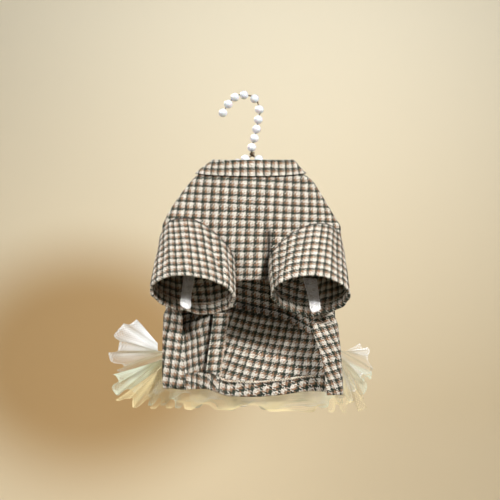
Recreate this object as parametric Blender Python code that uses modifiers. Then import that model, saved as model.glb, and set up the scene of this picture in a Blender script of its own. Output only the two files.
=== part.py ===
"""A small dog's dress, hung belly side forward on a beaded wire hanger.

Sizes below are millimetres; the mesh is made in metres. +Z is up, -Y is the belly side that
faces the viewer, and the origin is the underside of the hook's top bead.
Places across the cloth are measured from the dress's own centre line.
"""
from collections import namedtuple
from math import asin, atan2, cos, degrees, pi, radians, sin

import bmesh
import bpy
from mathutils import Vector

MM = 0.001
COLLECTION_NAME = "dog_dress"
DRESS_CENTRE = 10.6          # the dress's centre line, right of the hook's top bead

CLOTH = 1.6                  # wool cloth
LACE = 0.9
TULLE = 1.0                  # net, as a wall
SEAM_GAP = 0.3
LAP = CLOTH + SEAM_GAP       # from the middle of one layer to the middle of the next
SECTION_POWER = 2.4          # how square the flattened round of the body is
SIDE_SEAM_TURN = 1.0         # degrees left open on each side of a side seam

# The body's round, from the neck to the hem: how far it reaches to each side of the centre
# line, to the belly side and to the back.
Section = namedtuple("Section", "height left right front back")
SECTIONS = [
    Section(-62, 38.0, 35.5, 8.0, 8.0),
    Section(-70, 46.5, 43.5, 9.3, 9.3),
    Section(-79, 57.5, 50.5, 11.0, 11.0),
    Section(-87, 66.3, 61.5, 12.8, 12.8),
    Section(-101, 77.6, 70.9, 14.5, 14.5),
    Section(-115, 87.0, 79.5, 15.5, 15.5),
    Section(-129, 95.0, 87.6, 16.2, 16.0),
    Section(-137, 98.0, 92.0, 16.5, 16.0),
    Section(-165, 98.0, 92.8, 16.5, 16.0),
    Section(-195, 95.5, 88.5, 15.5, 15.5),
    Section(-220, 94.0, 86.0, 14.0, 14.5),
    Section(-250, 95.0, 88.0, 13.0, 14.0),
    Section(-276, 95.7, 91.0, 12.5, 13.5),
    Section(-307, 94.8, 92.5, 12.0, 13.0),
    Section(-325, 94.0, 93.0, 12.0, 13.0),
]

NECK_HEIGHT = -75.0          # the panels' neck edge, under the collar
BELLY_EDGE = -193.0          # middle of the chest panel's short lower edge
BELLY_EDGE_POWER = 2.3
WAIST_OVERLAP = 10.0         # the skirt's top edge, above the bodice's edge, behind it
BELLY_OVERLAP = 2.0          # the chest panel's edge, below the bodice's edge, at its sides
BELLY_CORNER = -224.0        # its height where it passes behind a flap's free edge
BELLY_CORNER_FADE = 12.0     # degrees in which it comes down from there
ROLL_DEPTH = 3.2             # the bodice's lower edge rolls forward over the skirt
ROLL_HEIGHT = 9.0
ROLL_SIDE_EASE = 2.2         # how soon the roll grows away from the side seams
CREASE_ACROSS = 13.5         # upright crease at the middle of the chest panel
CREASE_DEPTH = 2.2
CREASE_WIDTH = 8.0
CREASE_TOP = -135.0
CREASE_FADE = 25.0

# The bodice's lower edge inside the back and the skirt's hem, seen from the belly side.
EDGE_REACH = 96.0            # across the cloth at a side seam, where these rows are read
Edge = namedtuple("Edge", "across waist hem")
BACK_EDGES = [
    Edge(-98, -241.0, -307.5),
    Edge(-77, -238.0, -309.0),
    Edge(-52, -230.0, -309.5),
    Edge(-40, -225.3, -313.5),
    Edge(-27, -223.5, -317.3),
    Edge(-1, -228.5, -318.2),
    Edge(32, -235.5, -315.7),
    Edge(56, -245.0, -312.3),
    Edge(69, -250.0, -311.5),
    Edge(95, -252.0, -314.5),
]

# Free front edges of the skirt, where it has come round each side.
Flap = namedtuple("Flap", "height left right")
FLAPS = [
    Flap(-219, 77.0, 68.5),
    Flap(-232, 77.0, 66.5),
    Flap(-244, 77.0, 63.0),
    Flap(-252, 77.0, 65.5),
    Flap(-268, 76.0, 71.0),
    Flap(-284, 75.5, 75.5),
    Flap(-300, 75.0, 77.0),
    Flap(-318, 75.0, 79.5),
]
FLAP_CORNER = -228.0         # where a flap's free edge meets the belly edge
LEFT_FLAP_RISE = 19.0        # the flaps' top edge, above the bodice's edge, behind the sleeves
RIGHT_FLAP_RISE = 24.0
LEFT_FLAP_TOP = -219.0       # so it lies at these heights
RIGHT_FLAP_TOP = -223.0
LEFT_FLAP_HEM = -307.5
RIGHT_FLAP_HEM = -314.0
SKIRT_CLEARANCE = 0.2        # the skirt hangs a little off the bodice
LEFT_FLAP_PRESS = 0.35       # the left flap lies almost flat on the back
PRESS_TOP = -246.0           # and is pressed from here down
PRESS_FADE = 22.0
PRESS_ACROSS = 30.0          # and from here out to its side
PRESS_ACROSS_FADE = 40.0
LEFT_RIDGE_ACROSS = -76.0    # the back comes forward to meet it
LEFT_RIDGE_DEPTH = 7.0
LEFT_RIDGE_WIDTH = 15.0

# The back comes forward to the right flap's free edge under the sleeve.
PINCH_ACROSS = 66.0
PINCH_HEIGHT = -233.0
PINCH_DEPTH = 6.5
PINCH_WIDTH = 25.0
PINCH_TALL = 30.0

# Upright seam between the skirt's two panels: its place across, and its heights.
SEAM_ACROSS_TOP = -28.5
SEAM_ACROSS_HEM = -38.0
SEAM_TOP = -225.0
SEAM_HEM = -309.0
SEAM_TURN_GAP = 0.12         # degrees left open on each side of it
SKIRT_TOP = -240.0           # the skirt's mean top and hem
SKIRT_HEM = -312.0
FACING_TOP = -231.0
FACING_WIDTH_TOP = 16.0
FACING_WIDTH_HEM = 15.0
FACING_PAST_SEAM = 1.0
FACING_LIFT = 1.6            # its free edge stands off the skirt
HEM_BAND = 16.0
HEM_BAND_ABOVE_HEM = 0.6
HEM_BAND_LEFT_EDGE = -74.0   # where the band passes behind the left flap
HEM_BAND_RIGHT_EDGE = 66.0
HEM_BAND_GAP = 1.0           # between the facing's foot and the band's top
HEM_PARTING = 1.2            # the two bands part this far right of the facing's edge
LEFT_BAND_LIFT = 1.0
RIGHT_BAND_LIFT = 0.3

COLLAR_TOP = -65.3
COLLAR_FALL = -81.6          # free lower edge at the sides
COLLAR_SAG = 2.0             # and how much lower it hangs at the middle of the belly
COLLAR_LAP = 2.3             # middle of the fall, out from the panels' middle
COLLAR_SIDE_LAP = 1.0        # more where it turns over the shoulder
COLLAR_COLUMNS = 36
COLLAR_ROWS = 7
COLLAR_STAND_END = 0.30      # share of the rows in the stand, and to the end of the fold
COLLAR_FOLD_END = 0.46
COLLAR_TURN = 1.6            # the fold begins this far under the collar's top
COLLAR_FOLD_RISE = 0.9
COLLAR_STAND_FOOT = NECK_HEIGHT + CLOTH / 2 + SEAM_GAP + 0.6

# A sleeve's root lies on the chest panel; its open cuff tips toward the viewer.
Sleeve = namedtuple(
    "Sleeve",
    "name side root_x root_z inner outer up down cuff_x cuff_y cuff_z half_x half_y half_z tilt")
SLEEVES = [
    Sleeve("left", -1, -71.0, -172.0, 50.0, 28.5, 45.5, 14.0,
           -63.9, -40.5, -206.5, 44.0, 20.5, 20.2, -5.5),
    Sleeve("right", 1, 67.0, -170.0, 50.5, 25.5, 37.7, 15.0,
           58.8, -40.5, -207.5, 40.5, 20.5, 21.1, -1.5),
]
INNER_ROOT_POWER = 1.5
OUTER_ROOT_POWER = 3.0
LOWER_ROOT_POWER = 2.0
SLEEVE_ROOT_GAP = 0.6        # beyond a lap, between the root and the chest panel
SLEEVE_COLUMNS = 28
SLEEVE_ROWS = 7
SLEEVE_PUFF_ROOTWARD = 0.7   # the swell lies nearer the root
SLEEVE_PUFF = 3.0            # how far the upper wall swells between root and rim
SLEEVE_SIDE_PUFF = 0.4
ARMHOLE_INSET = 3.0
ARMHOLE_OUTER_INSET = 7.0
CUTTER_FRONT = -40.0
CUTTER_LENGTH = 38.5
CUFF_HEM = 10.7
CUFF_HEM_GAP = 0.25          # beyond a lap
LACE_WIDTH = 11.5
LACE_LENGTH = 38.0
LACE_OFFSET = LAP + CLOTH / 2 + SEAM_GAP + LACE / 2 + 0.6
LACE_ROUNDING = 8            # its end is rounded over this part of its length
LACE_TOP_TURNS = {"left": 273.0, "right": 280.0}    # degrees round the sleeve, deep inside
LACE_RIM_TURNS = {"left": 256.5, "right": 260.0}    # and at the rim

# Gathered net, sewn across the outside of the skirt's back: one row a layer.
Layer = namedtuple(
    "Layer", "name height lap start_turn end_turn start_way end_way "
             "length_start length_middle length_end flare pleats wave")
LAYERS = [
    Layer("tulle_yellow", -286, 2.1, -84, -276, 216, 304, 56, 48, 47, 8, 12, 2.7),
    Layer("tulle_mint", -279, 3.9, -86, -274, 200, 332, 60, 57, 33, 18, 18, 4.0),
    Layer("tulle_ivory", -270, 5.7, -88, -272, 138, 378, 46, 75, 23, 31, 22, 4.6),
]
TIP_VARIATION = 0.14
SIDE_GATHER = 0.5            # pleats crowd toward both sides
LEFT_TAPER = 2.0             # how soon the layers grow shorter toward each end
RIGHT_TAPER = 1.2
POINTS_A_PLEAT = 4
TULLE_ROWS = 3

BEAD = 9.5
END_BEAD = 5.6
BEAD_HOLE = 2.3
BEAD_RINGS = 5
BEAD_SIDES = 10
WIRE = 1.4
WIRE_IN_BEAD = 0.4           # the wire's bends lie this far inside a bead's ends
# Centres of the hook's beads, from its tip to the twist.
Spot = namedtuple("Spot", "x z")
HOOK_BEADS = [
    Spot(-22.6, -14.3), Spot(-16.8, -5.0), Spot(-9.8, 2.4), Spot(0.0, BEAD / 2),
    Spot(11.2, 0.7), Spot(16.3, -10.8), Spot(15.3, -21.7), Spot(13.3, -31.7),
    Spot(11.0, -41.5), Spot(8.3, -51.3),
]
TWIST = Spot(8.7, -59.6)
TWIST_RADIUS = 2.3
TWIST_WIRE = 1.1
TWIST_TURNS = 2
TWIST_STEPS = 9              # to a turn
TWIST_FOOT = -0.2
TWIST_TOP = 2.8
ARM_BEADS = 6
ARM_PITCH = 9.8
ARM_FIRST = 8.0
Arm = namedtuple("Arm", "name side slope")
ARMS = [Arm("left", -1, 26.5), Arm("right", 1, 29.0)]

# Colours are linear red, green, blue.
Finish = namedtuple("Finish", "colour roughness metallic")
FINISHES = {
    "wool_check": Finish((0.36, 0.30, 0.24), 0.92, 0.0),
    "lace_white": Finish((0.82, 0.82, 0.80), 0.85, 0.0),
    "tulle_ivory": Finish((0.78, 0.74, 0.64), 0.80, 0.0),
    "tulle_mint": Finish((0.66, 0.72, 0.58), 0.80, 0.0),
    "tulle_yellow": Finish((0.80, 0.74, 0.46), 0.80, 0.0),
    "pearl_white": Finish((0.85, 0.84, 0.82), 0.18, 0.0),
    "wire_bronze": Finish((0.10, 0.07, 0.04), 0.40, 0.9),
}


# ---------------------------------------------------------------- reading tables

def read(rows, key, value, at):
    """Smooth curve through a table's rows: column `value` where column `key` is `at`."""
    ordered = sorted(rows, key=lambda row: getattr(row, key))
    keys = [getattr(row, key) for row in ordered]
    values = [getattr(row, value) for row in ordered]
    if at <= keys[0]:
        return values[0]
    if at >= keys[-1]:
        return values[-1]
    i = max(n for n in range(len(keys) - 1) if keys[n] <= at)
    step = keys[i + 1] - keys[i]
    slopes = [(values[n + 1] - values[n]) / (keys[n + 1] - keys[n]) for n in range(len(keys) - 1)]

    def tangent(n):
        if n == 0 or n == len(keys) - 1:
            return slopes[min(n, len(slopes) - 1)]
        if slopes[n - 1] * slopes[n] <= 0:
            return 0.0
        return 2 * slopes[n - 1] * slopes[n] / (slopes[n - 1] + slopes[n])

    t = (at - keys[i]) / step
    return (values[i] * (1 + 2 * t) * (1 - t) ** 2 + step * tangent(i) * t * (1 - t) ** 2
            + values[i + 1] * t * t * (3 - 2 * t) + step * tangent(i + 1) * t * t * (t - 1))


def blend(a, b, t):
    return a + (b - a) * t


def ease(t):
    t = min(max(t, 0.0), 1.0)
    return t * t * (3 - 2 * t)


def bump(distance, width):
    """A soft hump, 1 at the middle and 0 from `width` away."""
    return 1 - ease(abs(distance) / width)


# ---------------------------------------------------------------- the body's surface

def body(turn, height):
    """Middle of the cloth at `turn` degrees round: 0 belly, -90 left, 90 right, 180 back."""
    share = sin(radians(turn))
    belly_side = cos(radians(turn)) > 0
    reach = read(SECTIONS, "height", "left" if share < 0 else "right", height)
    depth = read(SECTIONS, "height", "front" if belly_side else "back", height)
    across = share * reach
    round_off = max(0.0, 1 - abs(share) ** SECTION_POWER) ** (1 / SECTION_POWER)
    y = -depth * round_off if belly_side else depth * round_off
    if belly_side:
        down = ease((CREASE_TOP - height) / CREASE_FADE)
        y += CREASE_DEPTH * bump(across - CREASE_ACROSS, CREASE_WIDTH) * down
    else:
        pinched = bump(across - PINCH_ACROSS, PINCH_WIDTH) * bump(height - PINCH_HEIGHT, PINCH_TALL)
        y -= PINCH_DEPTH * pinched
    return Vector((across, y, height))


def moved_out(surface, u, v, distance):
    """The surface's point moved along its outward normal."""
    step = 0.05
    along_u = surface(u + step, v) - surface(u - step, v)
    along_v = surface(u, v + step) - surface(u, v - step)
    normal = along_v.cross(along_u).normalized()
    return surface(u, v) - normal * distance


def edge(turn, column):
    """Height of the bodice's lower edge or of the hem."""
    return read(BACK_EDGES, "across", column, sin(radians(turn)) * EDGE_REACH)


def roll(turn, height):
    """How far the back bodice's lower edge rolls forward."""
    if cos(radians(turn)) > 0:
        return 0.0
    away_from_sides = ease(-cos(radians(turn)) * ROLL_SIDE_EASE)
    return ROLL_DEPTH * bump(height - edge(turn, "waist"), ROLL_HEIGHT) * away_from_sides


def skirt(turn, height):
    """Middle of the skirt's cloth; it hangs outside the bodice."""
    point = moved_out(body, turn, height, LAP + SKIRT_CLEARANCE)
    left_half = ease((-point.x - PRESS_ACROSS) / PRESS_ACROSS_FADE)
    below_waist = ease((PRESS_TOP - height) / PRESS_FADE)
    if cos(radians(turn)) > 0:
        point.y *= blend(1.0, LEFT_FLAP_PRESS, left_half * below_waist)
    else:
        ridge = bump(point.x - LEFT_RIDGE_ACROSS, LEFT_RIDGE_WIDTH)
        point.y -= LEFT_RIDGE_DEPTH * ridge * below_waist
    return point


# ---------------------------------------------------------------- making meshes

def material(name):
    found = bpy.data.materials.get(name)
    if found:
        return found
    made = bpy.data.materials.new(name)
    made.use_nodes = True
    shader = made.node_tree.nodes["Principled BSDF"]
    finish = FINISHES[name]
    shader.inputs["Base Color"].default_value = (*finish.colour, 1.0)
    shader.inputs["Roughness"].default_value = finish.roughness
    shader.inputs["Metallic"].default_value = finish.metallic
    return made


def place(name, mesh, finish, centre=DRESS_CENTRE):
    """Put a mesh in the part's collection; `centre` is what its X is measured from."""
    thing = bpy.data.objects.new(name, mesh)
    thing.location.x = centre * MM
    parts.objects.link(thing)
    mesh.materials.append(material(finish))
    mesh.shade_smooth()
    return thing


def grid_mesh(name, surface, columns, rows, closed=False):
    """Faces over surface(i, j), both from 0 to 1; `closed` joins the last column to the first.

    Each square is split along the same diagonal, so both faces of a wall fold alike.
    """
    shape = bmesh.new()
    across = columns if closed else columns + 1
    lattice = [[shape.verts.new(surface(i / columns, j / rows) * MM) for i in range(across)]
               for j in range(rows + 1)]
    for j in range(rows):
        for i in range(columns):
            right = (i + 1) % across
            shape.faces.new((lattice[j][i], lattice[j + 1][i], lattice[j + 1][right]))
            shape.faces.new((lattice[j][i], lattice[j + 1][right], lattice[j][right]))
    mesh = bpy.data.meshes.new(name)
    shape.to_mesh(mesh)
    shape.free()
    return mesh


def sheet(name, surface, columns, rows, finish="wool_check", thickness=CLOTH, closed=False):
    """A wall of cloth whose middle follows surface(i, j)."""
    thing = place(name, grid_mesh(name, surface, columns, rows, closed), finish)
    wall = thing.modifiers.new("wall", "SOLIDIFY")
    wall.thickness = thickness * MM
    wall.offset = 0.0
    wall.use_quality_normals = True
    return thing


# ---------------------------------------------------------------- bodice and skirt

def flap_turn(side, height):
    """Turn of the skirt's free front edge."""
    column = "left" if side < 0 else "right"
    reach = read(SECTIONS, "height", column, height) + LAP
    return side * degrees(asin(read(FLAPS, "height", column, height) / reach))


def belly_edge(turn):
    """Height of the chest panel's lower edge: short in the middle, down to the waist beside."""
    side = -1 if turn < 0 else 1
    corner = abs(flap_turn(side, FLAP_CORNER))
    if abs(turn) >= corner:
        down = ease((abs(turn) - corner) / BELLY_CORNER_FADE)
        return blend(BELLY_CORNER, edge(turn, "waist") - BELLY_OVERLAP, down)
    share = sin(radians(abs(turn))) / sin(radians(corner))
    return blend(BELLY_EDGE, BELLY_CORNER, share ** BELLY_EDGE_POWER)


def chest_panel():
    def surface(i, j):
        turn = blend(-90 + SIDE_SEAM_TURN, 90 - SIDE_SEAM_TURN, i)
        return body(turn, blend(NECK_HEIGHT, belly_edge(turn), j))

    panel = sheet("chest_panel", surface, 28, 13)
    for sleeve in SLEEVES:
        cut = panel.modifiers.new("armhole_" + sleeve.name, "BOOLEAN")
        cut.object = armhole_cutter(sleeve)
        cut.operation = "DIFFERENCE"
        cut.solver = "EXACT"


def back_bodice():
    def surface(i, j):
        turn = blend(-90 - SIDE_SEAM_TURN, -270 + SIDE_SEAM_TURN, i)
        height = blend(NECK_HEIGHT, edge(turn, "waist"), ease(j * 0.5) * 2)
        return moved_out(body, turn, height, -roll(turn, height))

    sheet("back_bodice", surface, 24, 13)


def skirt_edges(turn):
    """Top and hem of the skirt at a turn."""
    at_front = ease(cos(radians(turn)) * 3)
    on_left = turn > -180
    rise = LEFT_FLAP_RISE if on_left else RIGHT_FLAP_RISE
    flap_hem = LEFT_FLAP_HEM if on_left else RIGHT_FLAP_HEM
    top = edge(turn, "waist") + blend(WAIST_OVERLAP, rise, at_front)
    return top, blend(edge(turn, "hem"), flap_hem, at_front)


def seam_turn(height):
    """Turn of the upright seam between the skirt's two panels, on the back."""
    share = (height - SEAM_TOP) / (SEAM_HEM - SEAM_TOP)
    across = blend(SEAM_ACROSS_TOP, SEAM_ACROSS_HEM, share)
    return -180 - degrees(asin(across / (read(SECTIONS, "height", "left", height) + LAP)))


def skirt_panels():
    def panel_surface(start, end):
        def surface(i, j):
            turn = blend(start(j), end(j), i)
            top, hem = skirt_edges(turn)
            return skirt(turn, blend(top, hem, j))
        return surface

    def left_edge(j):
        return flap_turn(-1, blend(LEFT_FLAP_TOP, LEFT_FLAP_HEM, j))

    def right_edge(j):
        return flap_turn(1, blend(RIGHT_FLAP_TOP, RIGHT_FLAP_HEM, j)) - 360

    def before_seam(j):
        return seam_turn(blend(SKIRT_TOP, SKIRT_HEM, j)) + SEAM_TURN_GAP

    def after_seam(j):
        return seam_turn(blend(SKIRT_TOP, SKIRT_HEM, j)) - SEAM_TURN_GAP

    sheet("skirt_left", panel_surface(left_edge, before_seam), 16, 9)
    sheet("skirt_right", panel_surface(after_seam, right_edge), 26, 11)


def inside_skirt(across, height, lift):
    """A point on the skirt's inner face at a place across the back, lifted toward the viewer."""
    reach = read(SECTIONS, "height", "left" if across < 0 else "right", height) + LAP
    turn = -180 - degrees(asin(across / reach))
    return moved_out(skirt, turn, height, -lift)


def hem_height(across):
    return read(BACK_EDGES, "across", "hem", across)


def seam_facing():
    """Seam allowance pressed to the left of the upright seam."""
    def surface(i, j):
        seam = blend(SEAM_ACROSS_TOP, SEAM_ACROSS_HEM, j)
        width = blend(FACING_WIDTH_TOP, FACING_WIDTH_HEM, j)
        across = blend(seam - width, seam + FACING_PAST_SEAM, i)
        height = blend(FACING_TOP, hem_height(across) + HEM_BAND + HEM_BAND_GAP, j)
        return inside_skirt(across, height, LAP + SKIRT_CLEARANCE + FACING_LIFT * (1 - i) ** 2)

    sheet("seam_facing", surface, 3, 8)


def hem_bands():
    """The hem turned up inside the skirt, a band for each panel."""
    def band(name, start, end, columns, lift):
        def surface(i, j):
            across = blend(start, end, i)
            height = hem_height(across) + blend(HEM_BAND, HEM_BAND_ABOVE_HEM, j)
            return inside_skirt(across, height, LAP + lift)
        sheet(name, surface, columns, 2)

    parting = SEAM_ACROSS_HEM - FACING_WIDTH_HEM + HEM_PARTING
    half_gap = SEAM_GAP / 2 + 0.05
    band("hem_left", HEM_BAND_LEFT_EDGE, parting - half_gap, 6, LEFT_BAND_LIFT)
    band("hem_right", parting + half_gap, HEM_BAND_RIGHT_EDGE, 14, RIGHT_BAND_LIFT)


def collar():
    """A stand inside the neck that folds over the top and falls outside the panels."""
    stand, fold = COLLAR_STAND_END, COLLAR_FOLD_END
    fold_height = COLLAR_TOP - COLLAR_TURN

    def surface(i, j):
        turn = -360 * i
        belly = max(0.0, cos(radians(turn)))
        fall = COLLAR_FALL - COLLAR_SAG * belly ** 2
        if j <= stand:
            return body(turn, blend(COLLAR_STAND_FOOT, fold_height, j / stand))
        if j <= fold:
            arc = (j - stand) / (fold - stand) * pi
            height = fold_height + sin(arc) * COLLAR_FOLD_RISE
            return moved_out(body, turn, height, COLLAR_LAP * (1 - cos(arc)) / 2)
        share = (j - fold) / (1 - fold)
        lap = COLLAR_LAP + COLLAR_SIDE_LAP * abs(sin(radians(turn))) ** 8 * share
        return moved_out(body, turn, blend(fold_height, fall, share), lap)

    sheet("collar", surface, COLLAR_COLUMNS, COLLAR_ROWS, closed=True)


# ---------------------------------------------------------------- sleeves

def root_outline(sleeve, angle, inset=0.0, outer_inset=0.0):
    """Across and height of the sleeve's root; angle 90 is its top, 0 its inner side."""
    c, s = cos(radians(angle)), sin(radians(angle))
    inner = c > 0
    power = INNER_ROOT_POWER if inner else OUTER_ROOT_POWER
    if s < 0:
        power = LOWER_ROOT_POWER
    half = sleeve.inner - inset if inner else sleeve.outer - outer_inset
    rise = (sleeve.up if s > 0 else sleeve.down) - inset
    across = half * abs(c) ** (2 / power) * (1 if inner else -1)
    height = sleeve.root_z + rise * abs(s) ** (2 / power) * (1 if s > 0 else -1)
    return sleeve.root_x - sleeve.side * across, height


def sleeve_surface(sleeve):
    """surface(angle, along): middle of the sleeve's cloth from root (0) to cuff rim (1)."""
    def root(angle):
        across, height = root_outline(sleeve, angle)
        reach = read(SECTIONS, "height", "left" if across < 0 else "right", height)
        share = max(-0.998, min(0.998, across / reach))
        return moved_out(body, degrees(asin(share)), height, LAP + SLEEVE_ROOT_GAP)

    def cuff(angle):
        c, s = cos(radians(angle)), sin(radians(angle))
        lean = sin(radians(sleeve.tilt))
        across = -sleeve.side * c * sleeve.half_x
        return Vector((sleeve.cuff_x + across,
                       sleeve.cuff_y - s * sleeve.half_y,
                       sleeve.cuff_z + s * sleeve.half_z + across * lean))

    def surface(angle, along):
        start, end = root(angle), cuff(angle)
        upper = max(0.0, sin(radians(angle)))
        sideways = -sleeve.side * cos(radians(angle)) * SLEEVE_SIDE_PUFF
        puff = Vector((sideways, -0.5 * SLEEVE_PUFF * upper, SLEEVE_PUFF * upper))
        return start.lerp(end, along) + puff * sin(pi * along ** SLEEVE_PUFF_ROOTWARD)

    return surface


def sleeve_normal(surface, angle, along):
    around = surface(angle + 1, along) - surface(angle - 1, along)
    down = surface(angle, min(along + 0.02, 1.0)) - surface(angle, max(along - 0.02, 0.0))
    return around.cross(down).normalized()


def sleeve_offset(sleeve, angle, along, inward):
    """A point moved from the sleeve's cloth toward its hollow."""
    surface = sleeve_surface(sleeve)
    point = surface(angle, along)
    middle = sum((surface(a, along) for a in range(0, 360, 45)), Vector()) / 8
    normal = sleeve_normal(surface, angle, along)
    if normal.dot(middle - point) < 0:
        normal = -normal
    return point + normal * inward


def wall_length(sleeve, angle):
    surface = sleeve_surface(sleeve)
    return (surface(angle, 1) - surface(angle, 0)).length


def sleeves():
    for sleeve in SLEEVES:
        surface = sleeve_surface(sleeve)
        sheet("sleeve_" + sleeve.name,
              lambda i, j, surface=surface: surface(360 * i, j),
              SLEEVE_COLUMNS, SLEEVE_ROWS, closed=True)

        def hem(i, j, sleeve=sleeve):
            angle = 360 * i
            start = 1 - CUFF_HEM / wall_length(sleeve, angle)
            return sleeve_offset(sleeve, angle, blend(start, 1.0, j), LAP + CUFF_HEM_GAP)
        sheet("cuff_hem_" + sleeve.name, hem, SLEEVE_COLUMNS, 1, closed=True)

        def ribbon(i, j, sleeve=sleeve):
            rim_angle = LACE_RIM_TURNS[sleeve.name]
            length = wall_length(sleeve, rim_angle)
            along = 1 - j * LACE_LENGTH / length
            rounded = (1 - max(0.0, 1 - j * LACE_ROUNDING) ** 2) ** 0.5 * 0.5 + 0.5
            half = degrees(LACE_WIDTH / 2 / sleeve.half_x) * rounded
            middle = blend(rim_angle, LACE_TOP_TURNS[sleeve.name], j)
            angle = middle + blend(-half, half, i)
            return sleeve_offset(sleeve, angle, along, LACE_OFFSET)
        sheet("lace_" + sleeve.name, ribbon, 3, 8, "lace_white", LACE)


def armhole_cutter(sleeve):
    """An upright plug, a little inside the sleeve's root, that opens the chest panel."""
    shape = bmesh.new()
    front = []
    for step in range(SLEEVE_COLUMNS):
        angle = 360 * step / SLEEVE_COLUMNS
        across, height = root_outline(sleeve, angle, ARMHOLE_INSET, ARMHOLE_OUTER_INSET)
        front.append(shape.verts.new(Vector((across, CUTTER_FRONT, height)) * MM))
    face = shape.faces.new(front)
    pushed = bmesh.ops.extrude_face_region(shape, geom=[face])
    back = [item for item in pushed["geom"] if isinstance(item, bmesh.types.BMVert)]
    bmesh.ops.translate(shape, verts=back, vec=Vector((0, CUTTER_LENGTH, 0)) * MM)
    bmesh.ops.recalc_face_normals(shape, faces=shape.faces[:])
    mesh = bpy.data.meshes.new("armhole_cutter_" + sleeve.name)
    shape.to_mesh(mesh)
    shape.free()
    cutter = bpy.data.objects.new(mesh.name, mesh)
    cutter.location.x = DRESS_CENTRE * MM
    cutter.hide_render = True
    cutter.display_type = "WIRE"
    cutters.objects.link(cutter)
    return cutter


# ---------------------------------------------------------------- tulle

def tulle_surface(layer, order):
    """surface(i, j): along the seam from the left end (i), out from the seam to the tips (j)."""
    def root(i):
        along = i - SIDE_GATHER * sin(2 * pi * i) / (2 * pi)
        turn = blend(layer.start_turn, layer.end_turn, along)
        return moved_out(body, turn, layer.height, LAP + layer.lap)

    def surface(i, j):
        way = radians(blend(layer.start_way, layer.end_way, i))
        flare = radians(layer.flare)
        outward = Vector((cos(way) * cos(flare), sin(flare), sin(way) * cos(flare)))
        facing = (root(i + 0.01) - root(i - 0.01)).cross(outward).normalized()
        phase = 2 * pi * layer.pleats * i + order
        if i < 0.5:
            end, taper = layer.length_start, LEFT_TAPER
        else:
            end, taper = layer.length_end, RIGHT_TAPER
        length = blend(layer.length_middle, end, ease(abs(2 * i - 1) ** taper))
        length *= 1 + TIP_VARIATION * cos(phase * 0.5 + order)
        return root(i) + outward * length * j + facing * layer.wave * sin(phase) * j ** 1.3

    return surface


def tulle_layers():
    for order, layer in enumerate(LAYERS):
        sheet(layer.name, tulle_surface(layer, order), layer.pleats * POINTS_A_PLEAT, TULLE_ROWS,
              layer.name, TULLE)


# ---------------------------------------------------------------- hanger

def bead(name, spot, way, size):
    """A drilled bead: a half round turned about its hole."""
    shape = bmesh.new()
    radius, hole = size / 2, BEAD_HOLE / 2
    rim = asin(hole / radius)
    profile = [shape.verts.new(Vector((sin(a), 0, cos(a))) * radius * MM)
               for a in (blend(rim, pi - rim, n / BEAD_RINGS) for n in range(BEAD_RINGS + 1))]
    for a, b in zip(profile, profile[1:] + profile[:1]):
        shape.edges.new((a, b))
    mesh = bpy.data.meshes.new(name)
    shape.to_mesh(mesh)
    shape.free()
    thing = place(name, mesh, "pearl_white", spot.x)
    thing.location.z = spot.z * MM
    thing.rotation_euler.y = radians(90) - way
    turned = thing.modifiers.new("turned", "SCREW")
    turned.axis = "Z"
    turned.steps = turned.render_steps = BEAD_SIDES
    turned.use_merge_vertices = True
    turned.merge_threshold = 0.00001


def wire(name, points, diameter):
    curve = bpy.data.curves.new(name, "CURVE")
    curve.dimensions = "3D"
    curve.bevel_depth = diameter / 2 * MM
    curve.bevel_resolution = 1
    curve.use_fill_caps = True
    spline = curve.splines.new("POLY")
    spline.points.add(len(points) - 1)
    for spot, point in zip(spline.points, points):
        spot.co = (*(point * MM), 1.0)
    thing = bpy.data.objects.new(name, curve)
    curve.materials.append(material("wire_bronze"))
    parts.objects.link(thing)
    return thing


def through(spot, way, reach):
    """Both ends of a straight run through a bead."""
    step = Vector((cos(way), 0, sin(way))) * reach
    centre = Vector((spot.x, 0, spot.z))
    return [centre - step, centre + step]


def hook():
    route = []
    for n, spot in enumerate(HOOK_BEADS):
        before = HOOK_BEADS[max(n - 1, 0)]
        after = HOOK_BEADS[n + 1] if n + 1 < len(HOOK_BEADS) else TWIST
        way = atan2(after.z - before.z, after.x - before.x)
        bead("hook_bead_%02d" % (n + 1), spot, way, BEAD)
        route += through(spot, way, BEAD / 2 - WIRE_IN_BEAD)
    route.append(Vector((TWIST.x, 0, TWIST.z + 0.8)))
    wire("hook_wire", route, WIRE)


def arms():
    peak = Vector((TWIST.x, 0, TWIST.z - 0.6))
    ends = []
    for arm in ARMS:
        way = radians(180 + arm.slope) if arm.side < 0 else radians(-arm.slope)
        step = Vector((cos(way), 0, sin(way)))
        for n in range(ARM_BEADS):
            spot = peak + step * (ARM_FIRST + n * ARM_PITCH)
            bead("arm_bead_%s_%d" % (arm.name, n + 1), Spot(spot.x, spot.z), way, BEAD)
        last = ARM_FIRST + (ARM_BEADS - 1) * ARM_PITCH + (BEAD + END_BEAD) / 2 + SEAM_GAP
        spot = peak + step * last
        bead("arm_bead_%s_%d" % (arm.name, ARM_BEADS + 1), Spot(spot.x, spot.z), way, END_BEAD)
        ends.append(peak + step * (last + END_BEAD / 2 + 0.6))
        ends.append(peak + step * 2)
    left_end, left_start, right_end, right_start = ends
    wire("arm_wire", [left_end, left_start, peak, right_start, right_end], WIRE)


def twist():
    """Thin wire wound round the foot of the hook."""
    points = []
    steps = TWIST_STEPS * TWIST_TURNS
    for step in range(steps + 1):
        angle = 2 * pi * TWIST_TURNS * step / steps
        height = TWIST.z + blend(TWIST_FOOT, TWIST_TOP, step / steps)
        points.append(Vector((TWIST.x - 0.15 + TWIST_RADIUS * cos(angle),
                              TWIST_RADIUS * sin(angle), height)))
    wire("neck_twist", points, TWIST_WIRE)


# ---------------------------------------------------------------- assembly

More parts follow.
